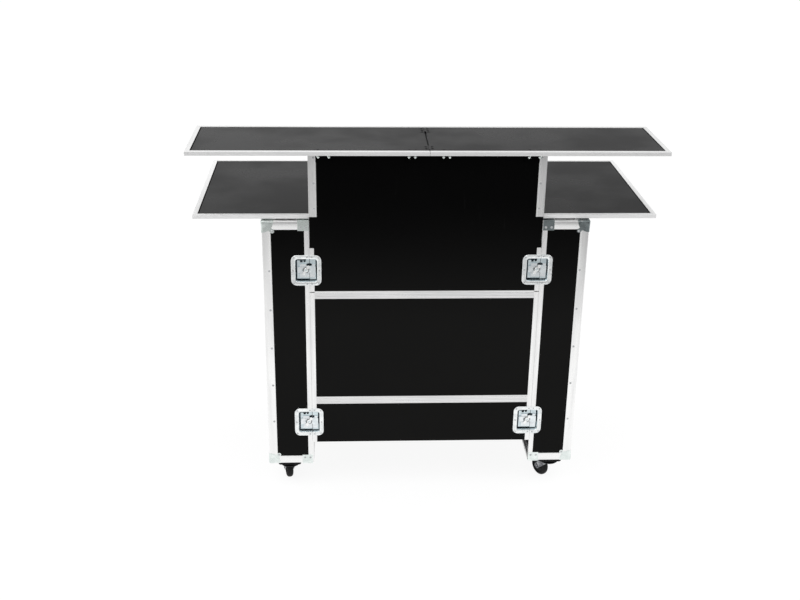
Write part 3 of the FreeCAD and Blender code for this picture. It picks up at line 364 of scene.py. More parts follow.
angles_low, angles_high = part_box("left_edge_angles")
FRONT, BACK = angles_low.y, angles_high.y
FLOOR, TOP = angles_low.z, angles_high.z
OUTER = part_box("right_edge_angles")[1].x
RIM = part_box("right_closing_frame")[0].x
X, Y, Z = 0, 1, 2
front_face = (Y, FRONT, 1)
back_face = (Y, BACK, -1)
floor_face = (Z, FLOOR, 1)
top_face = (Z, TOP, -1)
RIM_FLANGE = 0.0155
for side, sign in SIDES.items():
    outer_face = (X, sign * OUTER, -sign)
    mesh = bmesh.new()
    section = angle_section(ANGLE_LEG)
    for end in (front_face, back_face):
        extrude(mesh, section, axis_place(Z, outer_face, end), FLOOR, TOP)
    for level in (floor_face, top_face):
        extrude(mesh, section, axis_place(Y, outer_face, level), FRONT + ANGLE_LEG, BACK - ANGLE_LEG)
        for end in (front_face, back_face):
            extrude(mesh, section, axis_place(X, end, level), sign * (RIM + RIM_FLANGE),
                    sign * (OUTER - ANGLE_LEG))
    add_piece(f"{side}_drawn_angles", mesh, "stand", aluminium_profile,
              [f"{side}_edge_angles"])


# Closing profiles: the drawn aluminium edge round the open side of each half and down the panel's sides.
# A tongue on one side of each seam meets a groove on the other; the flange that shows is ribbed.
BOARD = 0.009
INNER_FLANGE = 0.012
RIM_DEPTH = 0.006
TONGUE = 0.004
TONGUE_SHOULDER = 0.0025
TONGUE_TAPER = 0.0008
RIB_RISE = 0.0004
RIB_SHARES = ((0.10, 0.0), (0.25, 1.0), (0.75, 1.0), (0.90, 0.0))
RIBS = 4


def ribbed_face(start, end, count):
    """Points along a face that carries low ribs, as rise and place."""
    step = (end - start) / count
    points = []
    for number in range(count):
        low = start + number * step
        points += [(-RIB_RISE * rise_share, low + share * step) for share, rise_share in RIB_SHARES]
    return points


def closing_section(tongued):
    """Section as depth into the case and distance from the rim."""
    inner = SHEET + BOARD
    outside = [(0.0, 0.0)] + ribbed_face(0.0, RIM_FLANGE, RIBS) + [(0.0, RIM_FLANGE), (SHEET, RIM_FLANGE)]
    inside = [(SHEET, RIM_DEPTH), (inner, RIM_DEPTH), (inner, INNER_FLANGE), (inner + SHEET, INNER_FLANGE),
              (inner + SHEET, 0.0)]
    if tongued:
        root = (SHEET + TONGUE_SHOULDER, inner - TONGUE_SHOULDER)
        edge = [(root[1], 0.0), (root[1] - TONGUE_TAPER, -TONGUE), (root[0] + TONGUE_TAPER, -TONGUE),
                (root[0], 0.0)]
    else:
        edge = [(inner, 0.0), (inner, RIM_DEPTH - SHEET), (SHEET, RIM_DEPTH - SHEET), (SHEET, 0.0)]
    return outside + inside + edge


def latch_middle(side, level):
    """Middle of a latch key, which is where its dish is fixed."""
    low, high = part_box(f"{side}_{level}_latch_key")
    return (low + high) / 2


PAN_HALF_HEIGHT = 0.0415
LATCH_HEIGHTS = {level: latch_middle("left", level).z for level in ("lower", "upper")}


def around_latches(start, end):
    """Stretches of an upright run that are left between the latch pans."""
    stretches = []
    for height in LATCH_HEIGHTS.values():
        if start < height < end:
            stretches.append((start, height - PAN_HALF_HEIGHT))
            start = height + PAN_HALF_HEIGHT
    return stretches + [(start, end)]


for side, sign in SIDES.items():
    rim_face = (X, sign * RIM, sign)
    section = closing_section(side == "left")
    mesh = bmesh.new()
    for low, high in around_latches(FLOOR, TOP):
        extrude(mesh, section, axis_place(Z, front_face, rim_face), low, high)
    extrude(mesh, section, axis_place(Z, back_face, rim_face), FLOOR, TOP)
    for level in (floor_face, top_face):
        inside = SHEET + BOARD
        extrude(mesh, section, axis_place(Y, level, rim_face), FRONT + inside, BACK - inside)
    add_piece(f"{side}_rim_profiles", mesh, "stand", aluminium_profile,
              [f"{side}_closing_frame"])

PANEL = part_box("upper_side_profiles")[1].x
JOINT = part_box("upper_front_board")[0].z
PANEL_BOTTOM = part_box("panel_closing_profiles")[0].z
CLOSING_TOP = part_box("panel_closing_profiles")[1].z
JOINT_GAP = 0.0014
mesh = bmesh.new()
for side, sign in SIDES.items():
    edge_face = (X, sign * PANEL, -sign)
    section = closing_section(side == "right")
    for start, end in ((PANEL_BOTTOM, JOINT - JOINT_GAP), (JOINT + JOINT_GAP, CLOSING_TOP)):
        for low, high in around_latches(start, end):
            extrude(mesh, section, axis_place(Z, front_face, edge_face), low, high)
add_piece("panel_edge_profiles", mesh, "stand", aluminium_profile,
          ["panel_closing_profiles"])


# Ball corners: three petals and a dome pressed from one zinc-plated sheet, riveted over each outer corner.
# The petals follow the rounded edges, and a round tab on each stands past the angles' inner corner.
# The plating is painted darker towards the top and much darker at the top right, as painted shade.
PETAL_REACH = 0.040
PETAL_SQUARE = 0.033
TAB_PLACE = 0.0355
TAB_RADIUS = 0.0070
PETAL_SHEET = 0.0012
DOME_RISE = 0.0018
DOME_REACH = 0.025
DOME_FLAT = 0.010
CORNER_ROUND = 0.0040
PETAL_RINGS = 10
HALF_FAN = (0.0, 7.0, 14.0, 21.0, 28.0, 33.0, 36.2, 37.0, 37.8, 39.5, 42.0)
PETAL_FAN = [math.radians(a) for a in HALF_FAN + (45.0,) + tuple(90.0 - a for a in reversed(HALF_FAN))]
CASTER_ROOM = 0.0310
LEAST_COSINE = 0.001
SPOT_DIGITS = 7


def smooth_step(value, low, high):
    """0 below a range, 1 above it, and a smooth rise between."""
    share = min(1.0, max(0.0, (value - low) / (high - low)))
    return share * share * (3 - 2 * share)


def corner_point(flat, rise_share, level_rise):
    """A point of the pressed sheet over a point on the sharp corner, measured in from the three faces."""
    reach = flat.length
    dome = 1.0 - smooth_step(reach, DOME_FLAT, DOME_REACH)
    rise = rise_share * (PETAL_SHEET + dome * (DOME_RISE - PETAL_SHEET))
    middle = Vector([max(part, CORNER_ROUND) for part in flat])
    out = flat - middle
    if out.length == 0.0:
        return flat
    point = middle + out.normalized() * (CORNER_ROUND + rise)
    point.z = max(point.z, -level_rise)
    return point


def petal_reach(angle):
    """How far a petal reaches from the corner in a direction: a disc, a square and a round tab in one."""
    reach = max(PETAL_REACH, PETAL_SQUARE / max(math.cos(angle), math.sin(angle)))
    off = angle - math.pi / 4
    centre = TAB_PLACE * math.sqrt(2.0)
    inside = TAB_RADIUS ** 2 - (centre * math.sin(off)) ** 2
    if inside > 0.0:
        reach = max(reach, centre * math.cos(off) + math.sqrt(inside))
    return reach


def press_corner(mesh, faces, over_caster):
    """One pressed corner over three faces, each an axis, a place and a way in."""
    origin = Vector([place for axis, place, way in faces])
    ways = Vector([way for axis, place, way in faces])
    found = {}

    def spot(flat, rise_share):
        """A shared vertex of the pressed sheet."""
        point = corner_point(flat, rise_share, DOME_RISE if over_caster else PETAL_SHEET)
        key = tuple(round(part, SPOT_DIGITS) for part in point)
        if key not in found:
            found[key] = mesh.verts.new(origin + Vector([p * w for p, w in zip(point, ways)]))
        return found[key]

    def skin(corners):
        """A face over shared vertices, with any that fall together taken once."""
        vertices = list(dict.fromkeys(corners))
        if len(vertices) > 2:
            mesh.faces.new(vertices)

    for up in range(3):
        right, far = (up + 1) % 3, (up + 2) % 3
        grid = []
        for angle in PETAL_FAN:
            reach = petal_reach(angle)
            if over_caster and up == Z:
                reach = min(reach, CASTER_ROOM / max(math.cos(angle), LEAST_COSINE))
            line = []
            for ring in range(PETAL_RINGS + 1):
                flat = Vector((0.0, 0.0, 0.0))
                flat[right] = reach * math.cos(angle) * ring / PETAL_RINGS
                flat[far] = reach * math.sin(angle) * ring / PETAL_RINGS
                line.append(flat)
            grid.append(line)
        for first, second in zip(grid, grid[1:]):
            for ring in range(PETAL_RINGS):
                corners = (first[ring], first[ring + 1], second[ring + 1], second[ring])
                skin([spot(flat, 1.0) for flat in corners])
            start, end = first[PETAL_RINGS], second[PETAL_RINGS]
            skin([spot(start, 1.0), spot(end, 1.0), spot(end, 0.0), spot(start, 0.0)])


SPECK_SCALE = 260.0
SPECK_RADIUS = 0.08
SPECK_EDGE = 0.2
DENT_SCALE = 220.0
tarnish, given, put = new_group("tarnish", {"Size": 60.0}, ("Cloud", "Speck", "Relief"))
where = tarnish.nodes.new("ShaderNodeTexCoord").outputs["Object"]
clouds = noise(tarnish, where, given["Size"], detail=4.0)
tarnish.links.new(mask(tarnish, clouds, NOISE_LOW, NOISE_HIGH), put["Cloud"])
specks = add_node(tarnish, "ShaderNodeTexVoronoi", None, Vector=where, Scale=SPECK_SCALE)
tarnish.links.new(ramp(tarnish, specks.outputs["Distance"], SPECK_RADIUS, SPECK_EDGE, 1.0, 0.0), put["Speck"])
tarnish.links.new(noise(tarnish, where, DENT_SCALE, detail=2.0), put["Relief"])

# Painted shade for the zinc: a darker tone mixed in towards the top, and a much darker one at the top right.
TOP_SHADE_FROM = 0.30
TOP_SHADE_FULL = 0.95
RIGHT_SHADE_SIDE = (0.370, 0.385)
RIGHT_SHADE_HEIGHT = (0.80, 0.90)
RIGHT_SHADE_SHARE = 0.80
TOP_SHADE_COLOUR = (0.50, 0.56, 0.53, 1.0)
RIGHT_SHADE_COLOUR = (0.135, 0.165, 0.178, 1.0)
painted_top_shade, given, put = new_group("painted_top_shade", {"Share": 0.36}, ("High", "Right"))
where = place_parts(painted_top_shade)
raised = mask(painted_top_shade, where["Z"], TOP_SHADE_FROM, TOP_SHADE_FULL)
painted_top_shade.links.new(math_node(painted_top_shade, "MULTIPLY", raised, given["Share"]), put["High"])
right_top = math_node(painted_top_shade, "MULTIPLY", mask(painted_top_shade, where["X"], *RIGHT_SHADE_SIDE),
                      ramp(painted_top_shade, where["Z"], *RIGHT_SHADE_HEIGHT, 0.0, RIGHT_SHADE_SHARE))
painted_top_shade.links.new(right_top, put["Right"])
TARNISH_SIZE = 70.0
SPECK_SHARE = 0.35


def plated(name, bright, clouded, speck, smooth, rough, metallic=1.0, relief=0.00006, specular=0.5,
           painted_shade=False):
    """A plated or painted metal, clouded in patches, with small specks and, if asked, painted shade."""
    material, tree, shader = new_material(name, rough, metallic, specular)
    marks = use_group(tree, tarnish, Size=TARNISH_SIZE)
    patchy = mix_colours(tree, marks["Cloud"], bright, clouded)
    speckled = mix_colours(tree, math_node(tree, "MULTIPLY", marks["Speck"], SPECK_SHARE), patchy, speck)
    if painted_shade:
        place = use_group(tree, painted_top_shade)
        speckled = mix_colours(tree, place["High"], speckled, TOP_SHADE_COLOUR)
        speckled = mix_colours(tree, place["Right"], speckled, RIGHT_SHADE_COLOUR)
    tree.links.new(speckled, shader.inputs["Base Color"])
    tree.links.new(ramp(tree, marks["Cloud"], 0.0, 1.0, smooth, rough), shader.inputs["Roughness"])
    bump(tree, shader, marks["Relief"], relief)
    return material


# The zinc plate carries that painted shade onto the corners, the braces and the cap nuts.
zinc_plate = plated("zinc_plate", (0.86, 0.91, 0.89, 1.0), (0.75, 0.81, 0.79, 1.0), (0.56, 0.62, 0.61, 1.0),
                    0.20, 0.34, painted_shade=True)
mesh = bmesh.new()
for sign in SIDES.values():
    for end in (front_face, back_face):
        for level in (floor_face, top_face):
            press_corner(mesh, ((X, sign * OUTER, -sign), end, level), level is floor_face)
add_piece("pressed_ball_corners", mesh, "stand", zinc_plate, ["ball_corners"])


# Corner braces and rivets: small zinc-plated plates folded over the ends of the closing frames.
# Plain steel blind rivets hold them, the corners, the angles and the latch dishes.
EDGE_BREAK = 0.0004
BREAK_SEGMENTS = 2
BREAK_PROFILE = 0.7
SHARP_ANGLE = math.radians(40.0)
WELD_REACH = 0.000001


def soften(names, width):
    """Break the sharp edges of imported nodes, as a press or a file does."""
    for name in names:
        weld = nodes[name].modifiers.new("weld", "WELD")
        weld.merge_threshold = WELD_REACH
        edges = nodes[name].modifiers.new("broken_edges", "BEVEL")
        edges.width = width
        edges.segments = BREAK_SEGMENTS
        edges.limit_method = "ANGLE"
        edges.angle_limit = SHARP_ANGLE
        edges.use_clamp_overlap = True
        edges.harden_normals = False
        nodes[name].data.polygons.foreach_set("use_smooth", [True] * len(nodes[name].data.polygons))
        flat = nodes[name].modifiers.new("flat_faces", "WEIGHTED_NORMAL")
        flat.keep_sharp = False


rivet_steel = plated("rivet_steel", (0.56, 0.57, 0.58, 1.0), (0.45, 0.46, 0.47, 1.0), (0.30, 0.30, 0.31, 1.0),
                     0.28, 0.45)
dress(["corner_braces"], zinc_plate)
soften(["corner_braces"], EDGE_BREAK)
dress(["case_rivets"], rivet_steel)


# Joint strips: a drawn channel over the lower board's top edge and a flat cover strip lower down.
# Both are a duller aluminium than the angles, with a raised bead along each edge and low ribs between.
strip_aluminium = aluminium("strip_aluminium", grey(0.86), grey(0.76))
STRIP_RIBS = 3
STRIP_BEAD = 0.0045
STRIP_RISE = 0.0008


def strip_face(height):
    """Front of a strip as rise and height, bottom to top, with a bead at each edge and ribs between."""
    low_bead = [(rise, place) for place, rise in bead(0.0, STRIP_BEAD, STRIP_RISE)]
    high_bead = [(rise, place) for place, rise in bead(height - STRIP_BEAD, height, STRIP_RISE)]
    ribs = ribbed_face(STRIP_BEAD + STRIP_RISE, height - STRIP_BEAD - STRIP_RISE, STRIP_RIBS)
    return low_bead + ribs + high_bead


low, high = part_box("upper_joint_strip")
depth = high.y - low.y
height = high.z - low.z
web = JOINT - low.z
channel = strip_face(height) + [
    (SHEET, height), (SHEET, web), (depth, web), (depth, 0.0), (depth - SHEET, 0.0),
    (depth - SHEET, web - SHEET), (SHEET, web - SHEET), (SHEET, 0.0)]
mesh = bmesh.new()
extrude(mesh, channel, axis_place(X, (Y, low.y, 1), (Z, low.z, 1)), low.x, high.x)
add_piece("upper_drawn_strip", mesh, "stand", strip_aluminium, ["upper_joint_strip"])
low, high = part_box("lower_joint_strip")
height = high.z - low.z
mesh = bmesh.new()
extrude(mesh, strip_face(height) + [(SHEET, height), (SHEET, 0.0)],
        axis_place(X, (Y, low.y, 1), (Z, low.z, 1)), low.x, high.x)
add_piece("lower_drawn_strip", mesh, "stand", strip_aluminium, ["lower_joint_strip"])

# Side profiles: drawn channels that close the upper board's edges between the worktop and the counter.
# They have one wide bead along the inner edge and four low ribs beside it.
low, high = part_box("upper_side_profiles")
FLANGE = 0.026
depth = high.y - low.y
flange_face = [(rise, place) for place, rise in bead(FLANGE - BEAD_WIDTH, FLANGE, BEAD_RISE)]
flange_face = ribbed_face(0.0, FLANGE - BEAD_WIDTH, RIBS) + flange_face
side_section = [(0.0, 0.0)] + flange_face + [(SHEET, FLANGE), (SHEET, SHEET), (depth - SHEET, SHEET)]
side_section += [(depth - SHEET, FLANGE)] + [(depth - rise, place) for rise, place in reversed(flange_face)]
side_section += [(depth, 0.0)]
mesh = bmesh.new()
for sign in SIDES.values():
    extrude(mesh, side_section, axis_place(Z, (Y, low.y, 1), (X, sign * PANEL, -sign)), low.z, high.z)
add_piece("upper_drawn_channels", mesh, "stand", aluminium_profile,
          ["upper_side_profiles"])


# Latch dishes: zinc-plated pressings with a stepped rim, split at the seam between the case and the panel.
# Stepped plates stand in the pan round the hook; deep in the pan the plate is painted blue-black as painted
# shade.
LATCH_REACH = 0.0605
KEEPER_REACH = 0.0385
DISH_HALF_WIDTH = (LATCH_REACH + KEEPER_REACH) / 2
DISH_HALF_HEIGHT = 0.0535
DISH_SHEET = 0.0008
PAN_FLOOR = 0.013
PIVOT_TO_SEAM = 0.0115
SEAM_HALF_GAP = 0.0005
CORNER_STEPS = 8


def rounded_outline(half_width, half_height, radius, steps):
    """Points of a rectangle with round corners, about its middle."""
    points = []
    for across, up, start in ((1, 1, 0.0), (-1, 1, 90.0), (-1, -1, 180.0), (1, -1, 270.0)):
        centre = (across * (half_width - radius), up * (half_height - radius))
        points += arc(centre, radius, start, start + 90.0, steps)
    return points


def loft(mesh, rings):
    """Skin a list of rings of points."""
    made = [[mesh.verts.new(point) for point in ring] for ring in rings]
    for first, second in zip(made, made[1:]):
        for number in range(len(first)):
            following = (number + 1) % len(first)
            mesh.faces.new((first[number], first[following], second[following], second[number]))
    return made


def capped(mesh, rings):
    """Skin a list of rings of points and close both ends."""
    made = loft(mesh, rings)
    mesh.faces.new(made[-1])
    mesh.faces.new(made[0])


# Each step of a dish from its outline to its floor: drawn in, radius of the corners, depth.
DISH_STEPS = (
    (0.0000, 0.0185, 0.0000), (0.0000, 0.0185, -0.0008), (0.0005, 0.0180, -0.0012),
    (0.0034, 0.0155, -0.0012), (0.0041, 0.0149, -0.0005), (0.0052, 0.0138, -0.0005),
    (0.0059, 0.0131, -0.0012), (0.0109, 0.0098, -0.0012), (0.0118, 0.0094, -0.0008),
    (0.0127, 0.0090, 0.0004), (0.0141, 0.0080, 0.0106), (0.0149, 0.0075, 0.0124),
    (0.0165, 0.0065, 0.0130),
)


def dish_half(side, level, latch_side):
    """One side of a pressed dish, cut at the seam."""
    middle = latch_middle(side, level)
    seam = middle.x + PIVOT_TO_SEAM
    centre = seam + (KEEPER_REACH - LATCH_REACH) / 2
    part = bmesh.new()
    rings = []
    for inset, radius, depth in DISH_STEPS:
        ring = rounded_outline(DISH_HALF_WIDTH - inset, DISH_HALF_HEIGHT - inset, radius, CORNER_STEPS)
        rings.append([Vector((centre + across, FRONT + depth, middle.z + up)) for across, up in ring])
    made = loft(part, rings)
    part.faces.new(made[-1])
    way = 1 if latch_side else -1
    cut_at = Vector((seam - way * SEAM_HALF_GAP, FRONT, middle.z))
    everything = part.verts[:] + part.edges[:] + part.faces[:]
    bmesh.ops.bisect_plane(part, geom=everything, plane_co=cut_at, plane_no=(way, 0.0, 0.0), clear_outer=True)
    bmesh.ops.solidify(part, geom=part.faces[:], thickness=-DISH_SHEET)
    return part


def join(mesh, part):
    """Move one mesh into another."""
    data = bpy.data.meshes.new("joined")
    part.to_mesh(data)
    part.free()
    mesh.from_mesh(data)
    bpy.data.meshes.remove(data)


def soft_box(mesh, low, high, width):
    """A block with broken edges."""
    size = Vector(high) - Vector(low)
    place = Matrix.Translation((Vector(low) + Vector(high)) / 2) @ Matrix.Diagonal((*size, 1.0))
    made = bmesh.ops.create_cube(mesh, size=1.0, matrix=place)
    edges = list({edge for vertex in made["verts"] for edge in vertex.link_edges})
    bmesh.ops.bevel(mesh, geom=edges, offset=width, segments=BREAK_SEGMENTS, affect="EDGES",
                    profile=BREAK_PROFILE)


def lathe(mesh, profile, centre, axis, steps=32):
    """A turned shape: radius and place along an axis through a centre."""
    turn = Vector((0.0, 0.0, 1.0)).rotation_difference(Vector(axis)).to_matrix()
    rings = []
    for radius, along in profile:
        ring = []
        for step in range(steps):
            angle = 2 * math.pi * step / steps
            spoke = Vector((radius * math.cos(angle), radius * math.sin(angle), along))
            ring.append(Vector(centre) + turn @ spoke)
        rings.append(ring)
    return loft(mesh, rings)


def turned(mesh, profile, centre, axis, steps=32):
    """A turned shape that is closed at both ends."""
    rings = lathe(mesh, profile, centre, axis, steps)
    mesh.faces.new(rings[0])
    mesh.faces.new(rings[-1])


STEP_DEPTH = 0.0090
BED_DEPTH = 0.0055
AWAY = (0.0, 1.0, 0.0)
PIVOT_RADIUS = 0.0039
PIVOT_DEPTH = 0.0010
PIVOT_DIMPLE = 0.0022
DIMPLE_SHARE = 0.6
DIMPLE_FLOOR_SHARE = 0.4
KEEPER_NEAR = 0.005
KEEPER_FAR = 0.009
KEEPER_HALF = 0.014
KEEPER_DEPTH = 0.0084
RAIL_NEAR = 0.003
RAIL_LENGTH = 0.032
RAIL_OUT = 0.011
RAIL_IN = 0.008
RAIL_DEPTH = 0.0081
ARCH_LEFT = ((0.0110, 0.0140), (0.0030, 0.0140), (0.0012, 0.0158), (0.0012, 0.0180), (0.0030, 0.0205),
             (0.0065, 0.0222), (0.0110, 0.0228))
ARCH_RIGHT = ((0.0120, 0.0228), (0.0160, 0.0220), (0.0186, 0.0202), (0.0196, 0.0175), (0.0180, 0.0140),
              (0.0120, 0.0140))
LATCH_STEP = ((-0.0300, -0.0325), (0.0110, -0.0325)) + ARCH_LEFT + (
    (0.0110, 0.0385), (0.0010, 0.0385), (-0.0015, 0.0275), (-0.0075, 0.0262), (-0.0085, 0.0325),
    (-0.0108, 0.0325), (-0.0120, 0.0262), (-0.0195, 0.0256), (-0.0205, 0.0330), (-0.0300, 0.0330))
LATCH_BEDS = (((-0.0210, 0.0116), (0.0110, 0.0116)) + ARCH_LEFT[:4] + ((0.0012, 0.0215), (-0.0210, 0.0215)),
              ((-0.0210, -0.0270), (0.0110, -0.0270), (0.0110, -0.0116), (-0.0210, -0.0116)))
KEEPER_STEPS = (((0.0120, 0.0385),) + ARCH_RIGHT + ((0.0120, 0.0116), (0.0318, 0.0116), (0.0318, 0.0385)),
                ((0.0120, -0.0350), (0.0330, -0.0350), (0.0330, -0.0116), (0.0120, -0.0116)))
KEEPER_BEDS = (((0.0120, 0.0116), (0.0300, 0.0116), (0.0300, 0.0215), (0.0190, 0.0215)) + ARCH_RIGHT[3:],
               ((0.0120, -0.0270), (0.0300, -0.0270), (0.0300, -0.0116), (0.0120, -0.0116)))
BRIDGE = ((0.0122, -0.0125), (0.0320, -0.0125), (0.0320, 0.0125), (0.0122, 0.0125))
BRIDGE_DEPTH = 0.0034
BRIDGE_BACK = 0.0053


def stamped(mesh, outline, pivot, face, back):
    """A plate cut to an outline about the pivot, with a broken front edge."""
    middle = [sum(axis) / len(outline) for axis in zip(*outline)]
    rings = []
    for depth, inset in ((back, 0.0), (face + EDGE_BREAK, 0.0), (face, EDGE_BREAK)):
        ring = []
        for across, up in outline:
            out = Vector((across - middle[0], up - middle[1]))
            held = Vector((across, up)) - out.normalized() * inset
            ring.append(Vector((pivot.x + held.x, FRONT + depth, pivot.z + held.y)))
        rings.append(ring)
    capped(mesh, rings)


def tone_ramp(tree, place, tones):
    """Colours along a measure, from a list of places and their colours."""
    start = tones[0][0]
    reach = tones[-1][0] - start
    share = math_node(tree, "DIVIDE", math_node(tree, "SUBTRACT", place, start), reach)
    made = add_node(tree, "ShaderNodeValToRGB", None, Fac=share)
    stops = made.color_ramp.elements
    while len(stops) < len(tones):
        stops.new(0.5)
    for stop, (at, colour) in zip(stops, tones):
        stop.position = (at - start) / reach
        stop.color = colour
    return made.outputs["Color"]


# Painted shade by depth: the deeper the sheet lies in the pan, the darker and bluer its colour.
PAN_SHADE_TONES = ((-0.0012, (0.93, 0.95, 0.95, 1.0)), (0.0010, (0.84, 0.92, 0.94, 1.0)),
             (0.0050, (0.86, 0.89, 0.91, 1.0)), (0.0058, (0.80, 0.84, 0.86, 1.0)),
             (0.0091, (0.66, 0.75, 0.78, 1.0)), (0.0098, (0.070, 0.105, 0.125, 1.0)),
             (0.0122, (0.009, 0.015, 0.020, 1.0)))
PAN_CLOUD = (0.30, 0.36, 0.40, 1.0)
PAN_CLOUD_SHARE = 0.16
PAN_SMOOTH = 0.22
PAN_ROUGH = 0.36
LATCH_TARNISH = 60.0
LATCH_RELIEF = 0.00005
latch_zinc, tree, shader = new_material("latch_zinc", PAN_ROUGH, metallic=1.0)
marks = use_group(tree, tarnish, Size=LATCH_TARNISH)
sunk = math_node(tree, "SUBTRACT", place_parts(tree)["Y"], FRONT)
clouded = mix_colours(tree, ramp(tree, marks["Cloud"], 0.0, 1.0, 0.0, PAN_CLOUD_SHARE),
                      tone_ramp(tree, sunk, PAN_SHADE_TONES), PAN_CLOUD)
tree.links.new(clouded, shader.inputs["Base Color"])
tree.links.new(ramp(tree, marks["Cloud"], 0.0, 1.0, PAN_SMOOTH, PAN_ROUGH), shader.inputs["Roughness"])
bump(tree, shader, marks["Relief"], LATCH_RELIEF)
DISH_NODES = {"left": ("case_latch_dishes", "panel_keeper_dishes"),
              "right": ("panel_latch_dishes", "case_keeper_dishes")}
for side, (latch_node, keeper_node) in DISH_NODES.items():
    latch_mesh = bmesh.new()
    keeper_mesh = bmesh.new()
    for level in LATCH_HEIGHTS:
        pivot = latch_middle(side, level)
        seam = pivot.x + PIVOT_TO_SEAM
        join(latch_mesh, dish_half(side, level, True))
        join(keeper_mesh, dish_half(side, level, False))
        stamped(latch_mesh, LATCH_STEP, pivot, STEP_DEPTH, PAN_FLOOR)
        for outline in LATCH_BEDS:
            stamped(latch_mesh, outline, pivot, BED_DEPTH, STEP_DEPTH)
        for outline in KEEPER_STEPS:
            stamped(keeper_mesh, outline, pivot, STEP_DEPTH, PAN_FLOOR)
        for outline in KEEPER_BEDS:
            stamped(keeper_mesh, outline, pivot, BED_DEPTH, STEP_DEPTH)
        stamped(keeper_mesh, BRIDGE, pivot, BRIDGE_DEPTH, BRIDGE_BACK)
        for way in (-1, 1):
            low_z, high_z = sorted((pivot.z + way * RAIL_IN, pivot.z + way * RAIL_OUT))
            soft_box(latch_mesh, (seam - RAIL_NEAR - RAIL_LENGTH, FRONT + RAIL_DEPTH, low_z),
                     (seam - RAIL_NEAR, FRONT + PAN_FLOOR, high_z), EDGE_BREAK)
        turned(latch_mesh, ((PIVOT_RADIUS, PAN_FLOOR), (PIVOT_RADIUS, PIVOT_DEPTH + EDGE_BREAK),
                            (PIVOT_RADIUS - EDGE_BREAK, PIVOT_DEPTH),
                            (DIMPLE_SHARE * PIVOT_RADIUS, PIVOT_DEPTH),
                            (DIMPLE_FLOOR_SHARE * PIVOT_RADIUS, PIVOT_DIMPLE)),
               (pivot.x, FRONT, pivot.z), AWAY)
        soft_box(keeper_mesh, (seam + KEEPER_NEAR, FRONT + KEEPER_DEPTH, pivot.z - KEEPER_HALF),
                 (seam + KEEPER_FAR, FRONT + PAN_FLOOR, pivot.z + KEEPER_HALF), 2 * EDGE_BREAK)
    add_piece(f"{side}_latch_pressings", latch_mesh, "stand", latch_zinc, [latch_node])
    add_piece(f"{side}_keeper_pressings", keeper_mesh, "stand", latch_zinc, [keeper_node])


# Latch keys and hooks: each key is a stepped hub with two folded wings that turns on the dish's pivot.
# It draws a flat hook across the seam to the keeper; all are zinc plated.
HUB_PROFILE = ((0.0042, 0.0051), (0.0109, 0.0051), (0.0109, 0.0036), (0.0106, 0.0032), (0.0101, 0.0032),
               (0.0099, 0.0049), (0.0081, 0.0049), (0.0078, 0.0020), (0.0070, 0.0012), (0.0046, 0.0010),
               (0.0042, 0.0014), (0.0042, 0.0051))
HUB_STEPS = 40
WING_TURN = math.radians(33.0)
WING_ROOT = 0.0072
WING_TIP = 0.0195
WING_HALF = 0.0055
WING_WAIST = 0.0036
WING_FRONT = 0.0007
WING_BACK = 0.0031
WING_LIP = 0.0016
WING_SINK = 0.0021
WING_STEPS = 10
WING_RINGS = ((EDGE_BREAK, WING_BACK), (0.0, WING_BACK - EDGE_BREAK), (0.0, WING_FRONT + EDGE_BREAK),
              (EDGE_BREAK, WING_FRONT), (WING_LIP, WING_FRONT), (WING_SINK, WING_FRONT + EDGE_BREAK))


def wing_outline(inset):
    """Half outline of a wing: narrow at the hub and round at the tip, as across and along."""
    tip = WING_TIP - WING_HALF
    lobe = arc((0.0, tip), WING_HALF - inset, 0.0, 180.0, WING_STEPS)
    return [(WING_WAIST - inset, WING_ROOT)] + lobe + [(inset - WING_WAIST, WING_ROOT)]


def key_wing(mesh, pivot, way):
    """One folded wing of a key, to one side of its pivot."""
    rings = []
    for inset, depth in WING_RINGS:
        ring = []
        for across, along in wing_outline(inset):
            right = way * (across * math.cos(WING_TURN) + along * math.sin(WING_TURN))
            up = way * (along * math.cos(WING_TURN) - across * math.sin(WING_TURN))
            ring.append(Vector((pivot.x + right, FRONT + depth, pivot.z + up)))
        rings.append(ring)
    capped(mesh, rings)


# Painted shade: below a depth the key is painted near-black, in the hub's groove and on its back.
KEY_BRIGHT = (0.93, 0.94, 0.94, 1.0)
KEY_GROOVE_SHADE = (0.03, 0.035, 0.04, 1.0)
GROOVE_SHADE_FROM = 0.0036
GROOVE_SHADE_FULL = 0.0047
key_zinc, tree, shader = new_material("key_zinc", 0.26, metallic=1.0)
sunk = math_node(tree, "SUBTRACT", place_parts(tree)["Y"], FRONT)
groove_shaded = mix_colours(tree, mask(tree, sunk, GROOVE_SHADE_FROM, GROOVE_SHADE_FULL), KEY_BRIGHT, KEY_GROOVE_SHADE)
tree.links.new(groove_shaded, shader.inputs["Base Color"])
marks = use_group(tree, tarnish, Size=LATCH_TARNISH)
bump(tree, shader, marks["Relief"], LATCH_RELIEF)
for side in SIDES:
    for level in LATCH_HEIGHTS:
        pivot = latch_middle(side, level)
        mesh = bmesh.new()
        lathe(mesh, HUB_PROFILE, (pivot.x, FRONT, pivot.z), AWAY, HUB_STEPS)
        for way in (-1, 1):
            key_wing(mesh, pivot, way)
        add_piece(f"{side}_{level}_wing_key", mesh, f"{side}_{level}_key", key_zinc,
                  [f"{side}_{level}_latch_key"])
        dress([f"{side}_{level}_latch_hook"], latch_zinc)
        soften([f"{side}_{level}_latch_hook"], EDGE_BREAK)

# Seat strips: black rubber laid along the top of each half, which the worktop rests on.
# The rubber has gone slightly grey where it rubs.
seat_rubber = plated("seat_rubber", grey(0.012), (0.020, 0.020, 0.021, 1.0), grey(0.03), 0.7, 0.85,
                     metallic=0.0, relief=0.0002, specular=0.2)
dress(["worktop_seat_strips"], seat_rubber)
soften(["worktop_seat_strips"], 2 * EDGE_BREAK)
